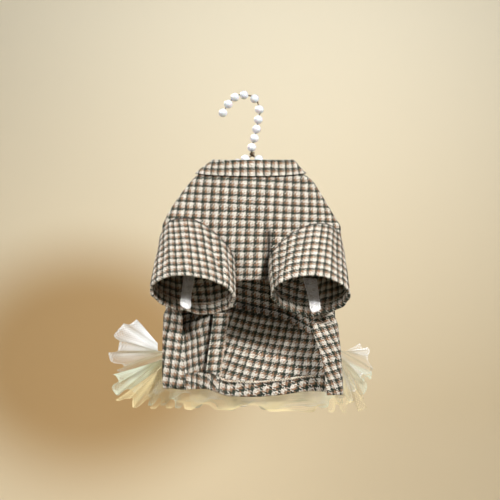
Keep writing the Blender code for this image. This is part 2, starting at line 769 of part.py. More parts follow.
def new_collection(name):
    collection = bpy.data.collections.new(name)
    bpy.context.scene.collection.children.link(collection)
    return collection


for leftover in list(bpy.data.objects):
    bpy.data.objects.remove(leftover, do_unlink=True)

parts = new_collection(COLLECTION_NAME)
cutters = new_collection("cutters")
chest_panel()
back_bodice()
skirt_panels()
seam_facing()
hem_bands()
collar()
sleeves()
tulle_layers()
hook()
arms()
twist()
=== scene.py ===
"""Looks of a small dog's dress that hangs belly side forward on a beaded wire hanger.

Sizes are millimetres and turn to metres where a mesh is made, apart from the stage and the
sheets' flat sizes, which are metres. Places across the cloth are measured from the dress's own
centre line, and turns go round its body: 0 is the belly, -90 the viewer's left side, 90 the right
side and -180 the back.
"""
from bisect import bisect_right
from collections import namedtuple
from math import asin, atan2, cos, degrees, pi, radians, sin, tanh

import bmesh
import bpy
import numpy as np
from bpy.props import FloatProperty, FloatVectorProperty, PointerProperty
from mathutils import Matrix, Vector


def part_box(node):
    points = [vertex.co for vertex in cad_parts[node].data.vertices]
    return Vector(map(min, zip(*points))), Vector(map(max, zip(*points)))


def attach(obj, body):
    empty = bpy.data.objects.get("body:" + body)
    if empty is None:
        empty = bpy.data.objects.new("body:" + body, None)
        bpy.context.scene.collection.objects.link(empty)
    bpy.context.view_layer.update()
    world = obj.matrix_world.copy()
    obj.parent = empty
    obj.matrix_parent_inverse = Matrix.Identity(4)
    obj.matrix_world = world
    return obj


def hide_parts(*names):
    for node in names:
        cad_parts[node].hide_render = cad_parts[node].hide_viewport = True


bl_info = {
    "name": "Dog dress on a beaded hanger",
    "version": (1, 0, 0),
    "blender": (4, 5, 0),
    "location": "3D View > Sidebar > Dress",
    "description": "Dresses the packed dog dress in checked cloth, net, lace, stitches and pearls",
    "category": "Object",
}

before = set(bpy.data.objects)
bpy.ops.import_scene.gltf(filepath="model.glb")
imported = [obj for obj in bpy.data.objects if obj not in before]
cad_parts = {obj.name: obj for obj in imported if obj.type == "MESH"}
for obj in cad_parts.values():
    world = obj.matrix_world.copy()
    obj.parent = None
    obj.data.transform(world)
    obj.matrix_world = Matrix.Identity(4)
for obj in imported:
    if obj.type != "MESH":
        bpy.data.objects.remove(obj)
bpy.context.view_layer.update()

MM = 0.001
BODY = "root"
DRESS_CENTRE = 10.6
BEAD_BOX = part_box("hook_bead_04")

# ---------------------------------------------------------------- sizes of the cut pieces

CLOTH = 1.6                  # room that a layer of cloth takes
WALL = 1.3                   # thickness that its shell shows
SEAM_GAP = 0.3
LAP = CLOTH + SEAM_GAP
FACING_WALL = 1.2
LACE_WALL = 0.45

# The body's cross-sections: how far it reaches left, right, to the belly and to the back.
SECTION_POWER = 2.4          # 2 would be an ellipse; more is squarer
SIDE_SEAM_TURN = 0.6
Section = namedtuple("Section", "height left right front back")
SECTIONS = [
    Section(-62, 38.0, 35.5, 8.0, 8.0),
    Section(-70, 46.5, 43.5, 9.3, 9.3),
    Section(-79, 57.5, 50.5, 11.0, 11.0),
    Section(-87, 66.3, 61.5, 12.8, 12.8),
    Section(-101, 77.6, 70.9, 14.5, 14.5),
    Section(-115, 87.0, 79.5, 15.5, 15.5),
    Section(-129, 95.0, 87.6, 16.2, 16.0),
    Section(-137, 98.0, 92.0, 16.5, 16.0),
    Section(-165, 98.0, 92.8, 16.5, 16.0),
    Section(-195, 95.5, 88.5, 15.5, 15.5),
    Section(-220, 94.0, 86.0, 14.0, 14.5),
    Section(-250, 95.0, 88.0, 13.0, 14.0),
    Section(-276, 95.7, 91.0, 12.5, 13.5),
    Section(-307, 94.8, 92.5, 12.0, 13.0),
    Section(-325, 94.0, 93.0, 12.0, 13.0),
]

# Bodice
NECK_HEIGHT = -75.0
BELLY_EDGE = -193.0          # of the chest panel, at its middle
BELLY_EDGE_POWER = 2.3
BELLY_CORNER = -224.0        # where its curve meets the flaps
BELLY_CORNER_FADE = 12.0
BELLY_OVERLAP = 2.0
BELLY_EDGE_SWELLS_FROM = 0.93   # share of the chest's length
WAIST_OVERLAP = 10.0         # of the skirt's top, up over the outside of the back bodice
ROLL_DEPTH = 5.6             # the back's lower edge rolls forward over the skirt
ROLL_HEIGHT = 9.0
ROLL_SIDE_EASE = 2.2
CREASE_ACROSS = 13.5         # a soft trough down the chest
CREASE_DEPTH = 2.2
CREASE_WIDTH = 8.0
CREASE_TOP = -135.0
CREASE_FADE = 25.0

# Lower edges of the back bodice and of the skirt's back, by the place across
EDGE_REACH = 96.0
Edge = namedtuple("Edge", "across waist hem")
BACK_EDGES = [
    Edge(-98, -241.0, -307.5),
    Edge(-77, -238.0, -309.0),
    Edge(-52, -230.0, -309.5),
    Edge(-40, -225.3, -313.5),
    Edge(-27, -223.5, -317.3),
    Edge(-1, -228.5, -318.2),
    Edge(32, -235.5, -315.7),
    Edge(56, -245.0, -312.3),
    Edge(69, -250.0, -311.5),
    Edge(95, -252.0, -314.5),
]
# Skirt: how far its free front edges stand from the middle, and how they hang
Flap = namedtuple("Flap", "height left right")
FLAPS = [
    Flap(-219, 77.0, 68.5),
    Flap(-232, 77.0, 66.5),
    Flap(-244, 77.0, 63.0),
    Flap(-252, 77.0, 65.5),
    Flap(-268, 76.0, 71.0),
    Flap(-284, 75.5, 75.5),
    Flap(-300, 75.0, 77.0),
    Flap(-318, 75.0, 79.5),
]
FLAP_CORNER = -228.0
LEFT_FLAP_RISE = 19.0
RIGHT_FLAP_RISE = 24.0
LEFT_FLAP_TOP = -219.0
RIGHT_FLAP_TOP = -223.0
LEFT_FLAP_HEM = -307.5
RIGHT_FLAP_HEM = -314.0
SKIRT_CLEARANCE = 0.2
LEFT_FLAP_PRESS = 0.35       # the left flap lies flat, at this share of the body's depth,
PRESS_TOP = -234.0           # from here down
PRESS_FADE = 16.0
PRESS_ACROSS = 30.0          # and from here out to its side
PRESS_ACROSS_FADE = 40.0
LEFT_RIDGE_ACROSS = -76.0    # the skirt's back comes forward to meet it
LEFT_RIDGE_DEPTH = 9.5
LEFT_RIDGE_WIDTH = 15.0
PINCH_ACROSS = 66.0          # and the whole back is drawn forward beside the right flap
PINCH_HEIGHT = -233.0
PINCH_DEPTH = 6.5
PINCH_WIDTH = 25.0
PINCH_TALL = 30.0
SEAM_ACROSS_TOP = -28.5      # the upright seam between the skirt's panels
SEAM_ACROSS_HEM = -38.0
SEAM_TOP = -225.0
SEAM_HEM = -309.0
SEAM_TURN_GAP = 0.1
SKIRT_TOP = -240.0
SKIRT_HEM = -312.0
FACING_TOP = -229.0
FACING_WIDTH_TOP = 16.0
FACING_WIDTH_HEM = 15.0
FACING_PAST_SEAM = 1.0
FACING_LIFT = 3.4            # its free edge stands off the skirt
FACING_FOOT = -300.0
HEM_BAND = 16.0

# Painted shade: how dark the wool is painted where it lies close under or beside another piece, in a
# crease or by the armhole seam, and how far from it that fades.
UNDER_BODICE_SHADE = 0.75
UNDER_BODICE_FADE = 9.0
BESIDE_FACING_SHADE = 0.6
BESIDE_FACING_FADE = 5.0
UNDER_CUFF = -232.0
UNDER_CUFF_SHADE = 0.6
UNDER_CUFF_FADE = 8.0
CREASE_SHADE = 0.30          # to a millimetre of a crease's depth
ARMHOLE_SHADE = 3.2
ARMHOLE_SHADE_FADE = 1.7

# Collar
COLLAR_TOP = -65.3
COLLAR_FALL = -81.6          # its lower edge
COLLAR_SAG = 2.0             # by which that hangs lower at the belly
COLLAR_LAP = 2.3
COLLAR_SIDE_LAP = 1.0
COLLAR_STAND_END = 0.30      # shares of its width: the stand inside, then the fold, then the fall
COLLAR_FOLD_END = 0.46
COLLAR_TURN = 1.6
COLLAR_FOLD_RISE = 0.9
COLLAR_STAND_FOOT = -73.3

# Sleeves: an oval root on the chest, by its reach from (root_x, root_z), and an oval cuff rim
Sleeve = namedtuple(
    "Sleeve",
    "name side root_x root_z inner outer up down cuff_x cuff_y cuff_z half_x half_y half_z tilt")
SLEEVES = [
    Sleeve("left", -1, -71.0, -172.0, 50.0, 28.5, 45.5, 14.0,
           -63.9, -40.5, -206.5, 44.0, 20.5, 20.2, -5.5),
    Sleeve("right", 1, 67.0, -170.0, 50.5, 25.5, 37.7, 15.0,
           58.8, -40.5, -207.5, 40.5, 20.5, 21.1, -1.5),
]
INNER_ROOT_POWER = 1.5       # 2 would be an ellipse
OUTER_ROOT_POWER = 3.0
LOWER_ROOT_POWER = 2.0
SLEEVE_ROOT_GAP = 0.6
SLEEVE_PUFF = 3.0
SLEEVE_SIDE_PUFF = 0.4
SLEEVE_PUFF_ROOTWARD = 0.7
ARMHOLE_INSET = 3.0          # the hole in the chest stays inside the sleeve's root
ARMHOLE_OUTER_INSET = 7.0
PLUG_SIDES = 72
PLUG_FRONT = -40.0
PLUG_DEPTH = 38.5
UNDER_ARM = 270.0            # angle of the sleeve's own seam
CUFF_HEM = 10.7
RIM_WAVES = (3, 5, 8, 13)    # waves round a cuff's rim
RIM_REACH = 14.0
SWELL_REACH = 12.0           # the swell fades out over this much above the rim
RIM_OUT = 0.25
RIM_DOWN = 0.42
ROOT_TUCK = 1.5              # a sleeve's first row dips into its seam
ROOT_TUCK_FADE = 18.0
MM_TO_A_DEGREE = 0.7         # round a sleeve

# Lace
LACE_WIDTH = 11.5
LACE_LENGTH = 38.0
LACE_INWARD = 4.4            # off the sleeve's wall
LACE_SWING = 9.5             # its foot hangs free of the sleeve's wall
LACE_CUP = 0.6
LACE_CURL = 0.7
LACE_SPREAD_TOP = 1.1        # the inside of the sleeve is narrower than its wall
LACE_SPREAD_FOOT = 1.3
LACE_END_LENGTH = 3.5        # its foot is a half oval
LACE_END_HALF = 5.2
SCALLOP_DEPTH = 0.9
SCALLOP_PITCH = 3.8
BORDER_WIDTH = 0.8
FLOWER_PITCH = 8.4
FLOWER_MIDDLE = 0.8
PETALS = 5
PETAL_REACH = 2.5
PETAL_SWELL = 1.1
PETAL_WIDTH = 1.3
MESH_ACROSS = 1.1            # from hole to hole of the lace's ground
MESH_ALONG = 0.95
MESH_HOLE = 0.40
LACE_TOP_TURNS = {"left": 273.0, "right": 280.0}
LACE_RIM_TURNS = {"left": 256.5, "right": 260.0}

# Net: each layer's seam, by height and turns, the ways that its ends hang, 270 being down, and
# its lengths at both ends and in the middle
Layer = namedtuple(
    "Layer", "name height lap start_turn end_turn start_way end_way "
             "length_start length_middle length_end flare pleats wave")
LAYERS = [
    Layer("yellow", -286, 2.1, -84, -276, 216, 304, 56, 48, 47, 8, 9, 2.2),
    Layer("mint", -279, 3.9, -86, -274, 200, 332, 60, 57, 33, 18, 12, 2.6),
    Layer("ivory", -270, 5.7, -88, -272, 138, 378, 46, 75, 23, 31, 14, 2.8),
]
NET_MESH = 2.0               # from thread to thread of the net
NET_THREAD = 0.17            # share of that gap that a thread fades over
NET_THREAD_COVER = 0.48
NET_THREAD_WAYS = (30.0, 90.0, 150.0)
TIP_VARIATION = 0.14         # share of a layer's length by which its tabs differ
TAB_SQUARENESS = 2.5
MIDDLE_TABS, SIDE_TABS = 1.2, 0.5          # to a pleat
MIDDLE_TAB_DEPTH, SIDE_TAB_DEPTH = 0.5, 0.8
MIDDLE_WAVE = 0.75           # the pleats are flatter under the middle of the hem
Crimp = namedtuple("Crimp", "height waves swing")
CRIMPS = [Crimp(0.30, 3.1, 4.0), Crimp(0.12, 7.3, 9.0)]
SIDE_GATHER = 0.8            # how much more closely it is gathered at the sides
SIDE_RISE = 9.0              # the outer layer's left end is sewn higher
SIDE_RISE_REACH = 0.12
LEFT_TAPER = 2.0             # how late the length changes towards an end
RIGHT_TAPER = 1.2
# How much closer the net is than its plain cover, as gathers and doubled edges make it.
LEFT_COVER, LEFT_COVER_REACH = 0.70, 0.30
ROOT_COVER, TIP_COVER = -0.11, -0.23
EDGE_COVER, EDGE_FROM = 0.22, 0.96
PLEAT_COVER, PLEAT_COVER_WAVES = 0.14, 9.1

# A row of stitches: from stitch to stitch, each one's length and thickness, and its slant.
Row = namedtuple("Row", "pitch length thickness slant")
HEM_OVERLOCK = Row(1.4, 2.8, 0.6, 58)
HEM_STITCHING = Row(3.4, 2.0, 1.0, 0)
FACING_OVERLOCK = Row(1.6, 2.6, 0.5, 60)
CUFF_OVERLOCK = Row(1.5, 2.6, 0.5, 58)
CUFF_OVERLOCK_IN = 0.8       # from the cuff hem's edge
HEM_STITCH_POINTS = 60
STITCH_LIFT = 0.25

# Hanger
BEAD_HOLE = 2.3
BEAD_SEGMENTS = 40
BEAD_RINGS = 24
END_BEAD = 5.6
WIRE = 1.4
WIRE_IN_BEAD = 0.4           # the wire's bends lie this far inside a bead's ends
Spot = namedtuple("Spot", "x z")
BEAD = (BEAD_BOX[1].x - BEAD_BOX[0].x) / MM
# Centres of the hook's beads, from its tip to the twist
HOOK_BEADS = [
    Spot(-22.6, -14.3), Spot(-16.8, -5.0), Spot(-9.8, 2.4), Spot(0.0, 4.75),
    Spot(11.2, 0.7), Spot(16.3, -10.8), Spot(15.3, -21.7), Spot(13.3, -31.7),
    Spot(11.0, -41.5), Spot(8.3, -51.3),
]
TWIST = Spot(8.7, -59.6)
PEAK = Vector((TWIST.x, 0, TWIST.z - 0.6))   # where the two arms meet
TWIST_RADIUS = 2.3
TWIST_WIRE = 1.1
TWIST_TURNS = 2
TWIST_STEPS = 14             # to a turn
TWIST_FOOT = -0.2
TWIST_TOP = 2.8
TWIST_LEFT = 0.15            # it sits this far left of the hook's foot
HOOK_WIRE_FOOT = 0.8
ARM_WIRE_END = 0.6           # past the last bead's middle and half width
ARM_WIRE_BEND = 2.0          # from the peak, where an arm's wire starts to slope
ARM_BEADS = 6
ARM_PITCH = 9.8
ARM_FIRST = 8.0
Arm = namedtuple("Arm", "name side slope")
ARMS = [Arm("left", -1, 26.5), Arm("right", 1, 29.0)]

# Soft folds of the cloth, seen from the front: a trough (or ridge, above 0) along a line.
Fold = namedtuple("Fold", "x0 z0 x1 z1 height width")
CHEST_FOLDS = [
    Fold(-66, -98, -40, -140, -0.8, 13),
    Fold(-30, -86, -24, -150, 0.6, 16),
    Fold(52, -92, 34, -138, -0.7, 13),
    Fold(20, -112, 24, -156, 0.9, 9),
    Fold(-17, -176, -12, -192, 0.7, 7),
    Fold(4, -150, 2, -192, 0.6, 9),
]
CHEST_CREASES = [
    Fold(16, -142, 13.5, -192, -3.2, 3.6),
]
SKIRT_FOLDS = [
    Fold(-2, -268, 34, -277, -2.4, 4.5),
    Fold(6, -273, 40, -283, 1.6, 4),
    Fold(30, -286, 62, -279, -1.6, 5),
    Fold(-20, -258, 30, -272, -1.6, 8),
    Fold(24, -270, 72, -284, -1.5, 9),
    Fold(-18, -268, 60, -292, 0.9, 9),
    Fold(-10, -240, 46, -256, 0.7, 11),
    Fold(30, -296, 70, -288, 0.9, 8),
    Fold(-70, -262, -48, -254, 0.8, 8),
    Fold(-72, -284, -46, -276, -0.8, 7),
]
BACK_FOLDS = [
    Fold(-30, -205, 40, -214, 0.7, 8),
    Fold(-60, -120, -20, -180, 0.9, 16),
    Fold(62, -126, 30, -190, 0.9, 15),
]
# The same on a sleeve, by the angle round it and the distance up from its rim.
SLEEVE_FOLDS = {
    "left": [
        Fold(59, 50, 45, 12, -1.7, 5),
        Fold(42, 48, 35, 14, 1.0, 7),
        Fold(25, 40, 22, 8, -1.0, 7),
        Fold(104, 0, 98, 34, 0.7, 12),
        Fold(142, 6, 128, 40, -0.9, 10),
        Fold(168, 2, 160, 30, 0.7, 9),
    ],
    "right": [
        Fold(22, 4, 44, 36, -1.2, 8),
        Fold(40, 2, 62, 26, 0.9, 8),
        Fold(100, 0, 96, 34, 0.7, 12),
        Fold(140, 8, 126, 44, -1.1, 9),
        Fold(166, 4, 158, 34, 0.8, 9),
    ],
}

# A swell all over a piece: its height, its wavelength, and where it starts.
Swell = namedtuple("Swell", "height wavelength seed")
SWELL_WAVES = ((0.4, 1.0), (1.7, 1.31), (2.9, 0.73), (5.1, 1.9))   # way and stretch
CHEST_SWELL = Swell(0.35, 46, 1.0)
CHEST_EDGE_SWELL = Swell(0.25, 11, 2.0)
BACK_SWELL = Swell(0.4, 52, 3.0)
SKIRT_SWELLS = {"left": Swell(0.35, 34, 5.0), "right": Swell(0.35, 34, 4.0)}
FACING_SWELL = Swell(0.25, 18, 6.0)
COLLAR_SWELL = Swell(0.30, 26, 7.0)
SLEEVE_SWELLS = {"left": Swell(0.35, 30, 7.0), "right": Swell(0.35, 30, 9.0)}

# Threads to one repeat of the check, in the order of the bands.
WARP_GREEN, WARP_BROWN, WARP_IVORY = 4, 3, 5
WEFT_IVORY, WEFT_GREEN, WEFT_BROWN = 4, 3, 3
WARP_THREADS = WARP_GREEN + WARP_BROWN + WARP_IVORY
WEFT_THREADS = WEFT_IVORY + WEFT_GREEN + WEFT_BROWN
TWILL = 4                    # threads to one step of the twill: over two, under two
WEFT_COVER = 0.8             # how much of its own width a weft thread covers
SLEEVE_CHECK = 1.163         # the sleeves' cloth is a little eased in along its length
SIDE_STRETCH = 0.75          # share of its depth that a side turn adds to the cloth's width

# How the check leans on a piece: its columns sideways per millimetre down, its rows up per
# millimetre across. The skirt's rows fall from its seam to both sides and on to the flaps' edges.
CHEST_LEAN = 0.042
CHEST_LEAN_FROM = -95.0
CHEST_RISE = 0.045
CHEST_RISE_FROM = -160.0
CHEST_RISE_FADE = 50.0
BACK_LEVEL_FROM = -85.0      # the back's rows follow its arched edge more and more from here
BACK_LEVEL_FADE = 130.0
FACING_LEAN = 0.115
FACING_LEAN_FROM = -225.0
SKIRT_LEAN_FROM = -265.0
SKIRT_SIDE_LEFT = -96.0
SKIRT_SIDE_RIGHT = 94.0
SKIRT_SEAM = -26.0
SKIRT_SLOPE = 0.30
SKIRT_BOW = 0.00145
SKIRT_LEAN_BOW = 2 * SKIRT_BOW
SKIRT_LEAST_LEAN = 0.03
FLAP_SLOPE_LEFT = 0.176
FLAP_SLOPE_RIGHT = 0.25
SKIRT_LEAN_LEFT = 0.15
FLAP_LEAN_LEFT = 0.026

# Where a piece's cloth starts in the check, in repeats across and up.
CHEST_PHASE = (0.81, 0.01)
BACK_PHASE = (0.33, 0.35)
SKIRT_PHASE = (0.30, 0.20)
FACING_PHASE = (0.35, 0.55)
COLLAR_PHASE = (0.02, 0.30)
SLEEVE_PHASES = {"left": (0.81, 0.62), "right": (0.927, 0.62)}

# Squares across and down of the mesh of a piece, at about 1.5 mm, and finer for lace and net.
CHEST_GRID = (132, 108)
BACK_GRID = (120, 110)
SKIRT_GRIDS = {"left": (64, 70), "right": (104, 70)}
HEM_ROWS = 12
FACING_GRID = (14, 60)
COLLAR_GRID = (180, 44)
SLEEVE_GRID = (180, 56)
CUFF_ROWS = 9
CUFF_STITCH_GRID = (120, 60)
LACE_CELL = 0.30
NET_COLUMNS = 30             # to a pleat
NET_ROWS = 30

# Colours are linear red, green, blue, with a 1 at their end where a node takes them as they are.
BLACK = (0.0, 0.0, 0.0, 1.0)
# near black of the shade painted into the wool
PAINTED_SHADE = (0.012, 0.010, 0.008, 1.0)
SLUB = (1.0, 0.96, 0.90, 1.0)
WORN_PATCH = (0.30, 0.25, 0.20, 1.0)
LACE_DARK = (0.72, 0.72, 0.73, 1.0)
LACE_PALE = (0.97, 0.97, 0.97, 1.0)
RUBBED_BRONZE = (0.42, 0.30, 0.16, 1.0)
PALE_THREAD = (0.80, 0.70, 0.56)
DARK_THREAD = (0.06, 0.04, 0.03)
AIR = (0.95, 0.90, 0.80, 1.0)
AIR_STRENGTH = 0.07


# ---------------------------------------------------------------- settings

def colour_setting(name, description, default):
    return FloatVectorProperty(name=name, description=description, subtype="COLOR", size=3,
                               min=0, max=1, default=default)


def share_setting(name, description, default):
    return FloatProperty(name=name, description=description, subtype="FACTOR",
                         min=0, max=1, default=default)


def length_setting(name, description, low, high, default):
    return FloatProperty(name=name, description=description, unit="LENGTH",
                         min=low, max=high, default=default)


def power_setting(name, description, default):
    return FloatProperty(name=name, description=description, unit="POWER",
                         min=0, max=2000, default=default)


class ClothSettings(bpy.types.PropertyGroup):
    """Yarns and check of the wool cloth."""

    ivory: colour_setting("Ivory yarn", "Colour of the pale yarn", (0.90, 0.855, 0.755))
    brown: colour_setting("Brown yarn", "Colour of the rust brown yarn", (0.38, 0.210, 0.122))
    green: colour_setting("Green yarn", "Colour of the dark green yarn", (0.016, 0.030, 0.019))
    check_width: length_setting(
        "Check width", "One repeat of the check across the warp", 0.002, 0.05, 0.00979)
    check_height: length_setting(
        "Check height", "One repeat of the check along the warp", 0.002, 0.05, 0.00834)
    hairiness: share_setting("Hairiness", "Share of loose pale fibres over the weave", 0.08)
    unevenness: share_setting(
        "Unevenness", "How much the threads' darkness varies from float to float", 0.60)
    # painted shade between the threads
    depth: share_setting("Weave depth", "How dark the cloth is between its threads", 0.55)


class NetSettings(bpy.types.PropertyGroup):
    """Colours and openness of the gathered net."""

    ivory: colour_setting("Ivory net", "Colour of the outer layer", (0.93, 0.97, 1.0))
    mint: colour_setting("Mint net", "Colour of the middle layer", (0.72, 0.82, 0.68))
    yellow: colour_setting("Yellow net", "Colour of the layer next to the dress", (0.80, 0.67, 0.37))
    haze: share_setting("Haze", "How much of the net's fine threads covers what lies behind", 0.25)


class HangerSettings(bpy.types.PropertyGroup):
    """Beads and wire of the hanger."""

    pearl: colour_setting("Bead", "Colour of the glossy beads", (0.66, 0.66, 0.70))
    wire: colour_setting("Wire", "Colour of the aged wire", (0.09, 0.06, 0.035))
    bead_size: length_setting("Bead size", "Diameter of a bead", 0.003, 0.03, BEAD * MM)


class StageSettings(bpy.types.PropertyGroup):
    """Backdrop, floor and lights."""

    backdrop: colour_setting("Backdrop", "Colour of the wall and floor", (0.80, 0.74, 0.59))
    # the backdrop's shade is painted into its colour
    shade: colour_setting("Shade", "Colour of the backdrop's soft shade", (0.455, 0.305, 0.147))
    key_power: power_setting("Key light", "Power of the soft light from the upper right", 4.35)
    fill_power: power_setting("Fill light", "Power of the soft light from the left", 1.45)
    wall_power: power_setting("Wall light", "Power of the soft light on the backdrop", 14.2)
    low_power: power_setting("Low light", "Power of the narrow light into the open skirt", 0.020)
    back_power: power_setting("Back light", "Power of the soft light behind the dress", 2.2)
    distance: length_setting("Camera distance", "From the camera to the dress", 0.2, 10, 1.5)
    width: length_setting("View width", "Width of the picture at the dress", 0.05, 5, 0.535)


# ---------------------------------------------------------------- curves through tables

class SmoothCurve:
    """A smooth curve through one column of a table, without overshoot."""

    def __init__(self, rows, key, value):
        pairs = sorted((getattr(row, key), getattr(row, value)) for row in rows)
        self.keys = [pair[0] for pair in pairs]
        self.values = [pair[1] for pair in pairs]
        last = len(pairs) - 1
        slopes = [(self.values[n + 1] - self.values[n]) / (self.keys[n + 1] - self.keys[n])
                  for n in range(last)]
        self.tangents = [slopes[0]]
        for before, after in zip(slopes, slopes[1:]):
            steady = before * after > 0
            self.tangents.append(2 * before * after / (before + after) if steady else 0.0)
        self.tangents.append(slopes[-1])

    def __call__(self, at):
        keys, values = self.keys, self.values
        if at <= keys[0]:
            return values[0]
        if at >= keys[-1]:
            return values[-1]
        i = bisect_right(keys, at) - 1
        step = keys[i + 1] - keys[i]
        t = (at - keys[i]) / step
        return (values[i] * (1 + 2 * t) * (1 - t) ** 2 + step * self.tangents[i] * t * (1 - t) ** 2
                + values[i + 1] * t * t * (3 - 2 * t) + step * self.tangents[i + 1] * t * t * (t - 1))


REACH = {-1: SmoothCurve(SECTIONS, "height", "left"), 1: SmoothCurve(SECTIONS, "height", "right")}
FRONT_DEPTH = SmoothCurve(SECTIONS, "height", "front")
BACK_DEPTH = SmoothCurve(SECTIONS, "height", "back")
WAIST = SmoothCurve(BACK_EDGES, "across", "waist")
HEM = SmoothCurve(BACK_EDGES, "across", "hem")
FLAP = {-1: SmoothCurve(FLAPS, "height", "left"), 1: SmoothCurve(FLAPS, "height", "right")}


def blend(a, b, t):
    return a + (b - a) * t


def ease(t):
    t = min(max(t, 0.0), 1.0)
    return t * t * (3 - 2 * t)


def bump(distance, width):
    """A soft hump, 1 at the middle and 0 from `width` away."""
    return 1 - ease(abs(distance) / width)


# ---------------------------------------------------------------- the body's surfaces

def body(turn, height):
    """Middle of the bodice's cloth."""
    share = sin(radians(turn))
    belly_side = cos(radians(turn)) > 0
    across = share * REACH[-1 if share < 0 else 1](height)
    depth = FRONT_DEPTH(height) if belly_side else BACK_DEPTH(height)
    round_off = max(0.0, 1 - abs(share) ** SECTION_POWER) ** (1 / SECTION_POWER)
    y = -depth * round_off if belly_side else depth * round_off
    if belly_side:
        down = ease((CREASE_TOP - height) / CREASE_FADE)
        y += CREASE_DEPTH * bump(across - CREASE_ACROSS, CREASE_WIDTH) * down
    else:
        pinched = bump(across - PINCH_ACROSS, PINCH_WIDTH) * bump(height - PINCH_HEIGHT, PINCH_TALL)
        y -= PINCH_DEPTH * pinched
    return Vector((across, y, height))


def moved_out(surface, u, v, distance):
    """The surface's point moved along its outward normal."""
    step = 0.05
    along_u = surface(u + step, v) - surface(u - step, v)
    along_v = surface(u, v + step) - surface(u, v - step)
    return surface(u, v) - along_v.cross(along_u).normalized() * distance


def edge_across(turn):
    return sin(radians(turn)) * EDGE_REACH


def roll(turn, height):
    """How far the back bodice's lower edge rolls forward."""
    if cos(radians(turn)) > 0:
        return 0.0
    away_from_sides = ease(-cos(radians(turn)) * ROLL_SIDE_EASE)
    return ROLL_DEPTH * bump(height - WAIST(edge_across(turn)), ROLL_HEIGHT) * away_from_sides


def skirt(turn, height):
    """Middle of the skirt's cloth; it hangs outside the bodice."""
    point = moved_out(body, turn, height, LAP + SKIRT_CLEARANCE)
    left_half = ease((-point.x - PRESS_ACROSS) / PRESS_ACROSS_FADE)
    below_waist = ease((PRESS_TOP - height) / PRESS_FADE)
    if cos(radians(turn)) > 0:
        point.y *= blend(1.0, LEFT_FLAP_PRESS, left_half * below_waist)
    else:
        ridge = bump(point.x - LEFT_RIDGE_ACROSS, LEFT_RIDGE_WIDTH)
        point.y -= LEFT_RIDGE_DEPTH * ridge * below_waist
    return point


def inside_skirt(across, height, lift):
    """A point on the skirt's inner face at a place across the back."""
    turn = -180 - degrees(asin(across / (REACH[-1 if across < 0 else 1](height) + LAP)))
    return moved_out(skirt, turn, height, -lift)


def flap_turn(side, height):
    """Turn of the skirt's free front edge."""
    return side * degrees(asin(FLAP[side](height) / (REACH[side](height) + LAP)))


def belly_edge(turn):
    """Height of the chest panel's lower edge."""
    side = -1 if turn < 0 else 1
    corner = abs(flap_turn(side, FLAP_CORNER))
    if abs(turn) >= corner:
        down = ease((abs(turn) - corner) / BELLY_CORNER_FADE)
        return blend(BELLY_CORNER, WAIST(edge_across(turn)) - BELLY_OVERLAP, down)
    share = sin(radians(abs(turn))) / sin(radians(corner))
    return blend(BELLY_EDGE, BELLY_CORNER, share ** BELLY_EDGE_POWER)


def skirt_edges(turn):
    """Top and hem of the skirt at a turn."""
    at_front = ease(cos(radians(turn)) * 3)
    on_left = turn > -180
    rise = LEFT_FLAP_RISE if on_left else RIGHT_FLAP_RISE
    flap_hem = LEFT_FLAP_HEM if on_left else RIGHT_FLAP_HEM
    top = WAIST(edge_across(turn)) + blend(WAIST_OVERLAP, rise, at_front)
    return top, blend(HEM(edge_across(turn)), flap_hem, at_front)


def seam_turn(height):
    """Turn of the upright seam between the skirt's two panels, on the back."""
    across = blend(SEAM_ACROSS_TOP, SEAM_ACROSS_HEM, (height - SEAM_TOP) / (SEAM_HEM - SEAM_TOP))
    return -180 - degrees(asin(across / (REACH[-1](height) + LAP)))


# ---------------------------------------------------------------- objects and meshes

def clear_selection():
    if bpy.context.object and bpy.context.object.mode != "OBJECT":
        bpy.ops.object.mode_set(mode="OBJECT")
    bpy.ops.object.select_all(action="DESELECT")


def choose(thing):
    """Select one object alone and make it active."""
    clear_selection()
    thing.select_set(True)
    bpy.context.view_layer.objects.active = thing


def apply_modifiers(thing):
    choose(thing)
    for modifier in list(thing.modifiers):
        bpy.ops.object.modifier_apply(modifier=modifier.name)


def apply_place(thing):
    """Move the object's place, turn and size into its mesh."""
    choose(thing)
    bpy.ops.object.transform_apply(location=True, rotation=True, scale=True)


def select_edges(thing, wanted):
    """In edit mode, select the edges that pass a test and no others."""
    shape = bmesh.from_edit_mesh(thing.data)
    for edge in shape.edges:
        edge.select = wanted(edge)
    bmesh.update_edit_mesh(thing.data)


def placed(name, mesh):
    """A new object of the scene, at the origin."""
    thing = bpy.data.objects.new(name, mesh)
    bpy.context.scene.collection.objects.link(thing)
    return thing


def mesh_from(shape, name):
    """Turn a bmesh into a mesh."""
    mesh = bpy.data.meshes.new(name)
    shape.to_mesh(mesh)
    shape.free()
    return mesh


def finished(thing, material, slot, *stands_for):
    """Give a piece its material and body, and hide the solids that it stands for."""
    thing.data.materials.clear()
    thing.data.materials.append(material)
    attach(thing, BODY)
    if stands_for:
        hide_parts(*stands_for)


def lattice(surface, columns, rows, closed=False):
    """Points of surface(i, j), an array of rows by columns."""
    across = columns if closed else columns + 1
    return np.array([[surface(i / columns, j / rows)[:] for i in range(across)]
                     for j in range(rows + 1)])


def normals_of(points, closed=False):
    """Unit normals of a lattice: its rows' direction crossed with its columns'."""
    if closed:
        ring = np.concatenate([points[:, -1:], points, points[:, :1]], axis=1)
        along = (ring[:, 2:] - ring[:, :-2])
    else:
        along = np.gradient(points, axis=1)
    normal = np.cross(np.gradient(points, axis=0), along)
    return normal / np.maximum(np.linalg.norm(normal, axis=2, keepdims=True), 1e-9)


def lifted(points, relief, closed=False):
    """The lattice moved out along its normals."""
    return points + normals_of(points, closed) * relief[..., None]


def lengths_down(points):
    """Distance down each column of a lattice from its first row."""
    steps = np.linalg.norm(np.diff(points, axis=0), axis=2)
    return np.vstack([np.zeros((1, points.shape[1])), np.cumsum(steps, axis=0)])


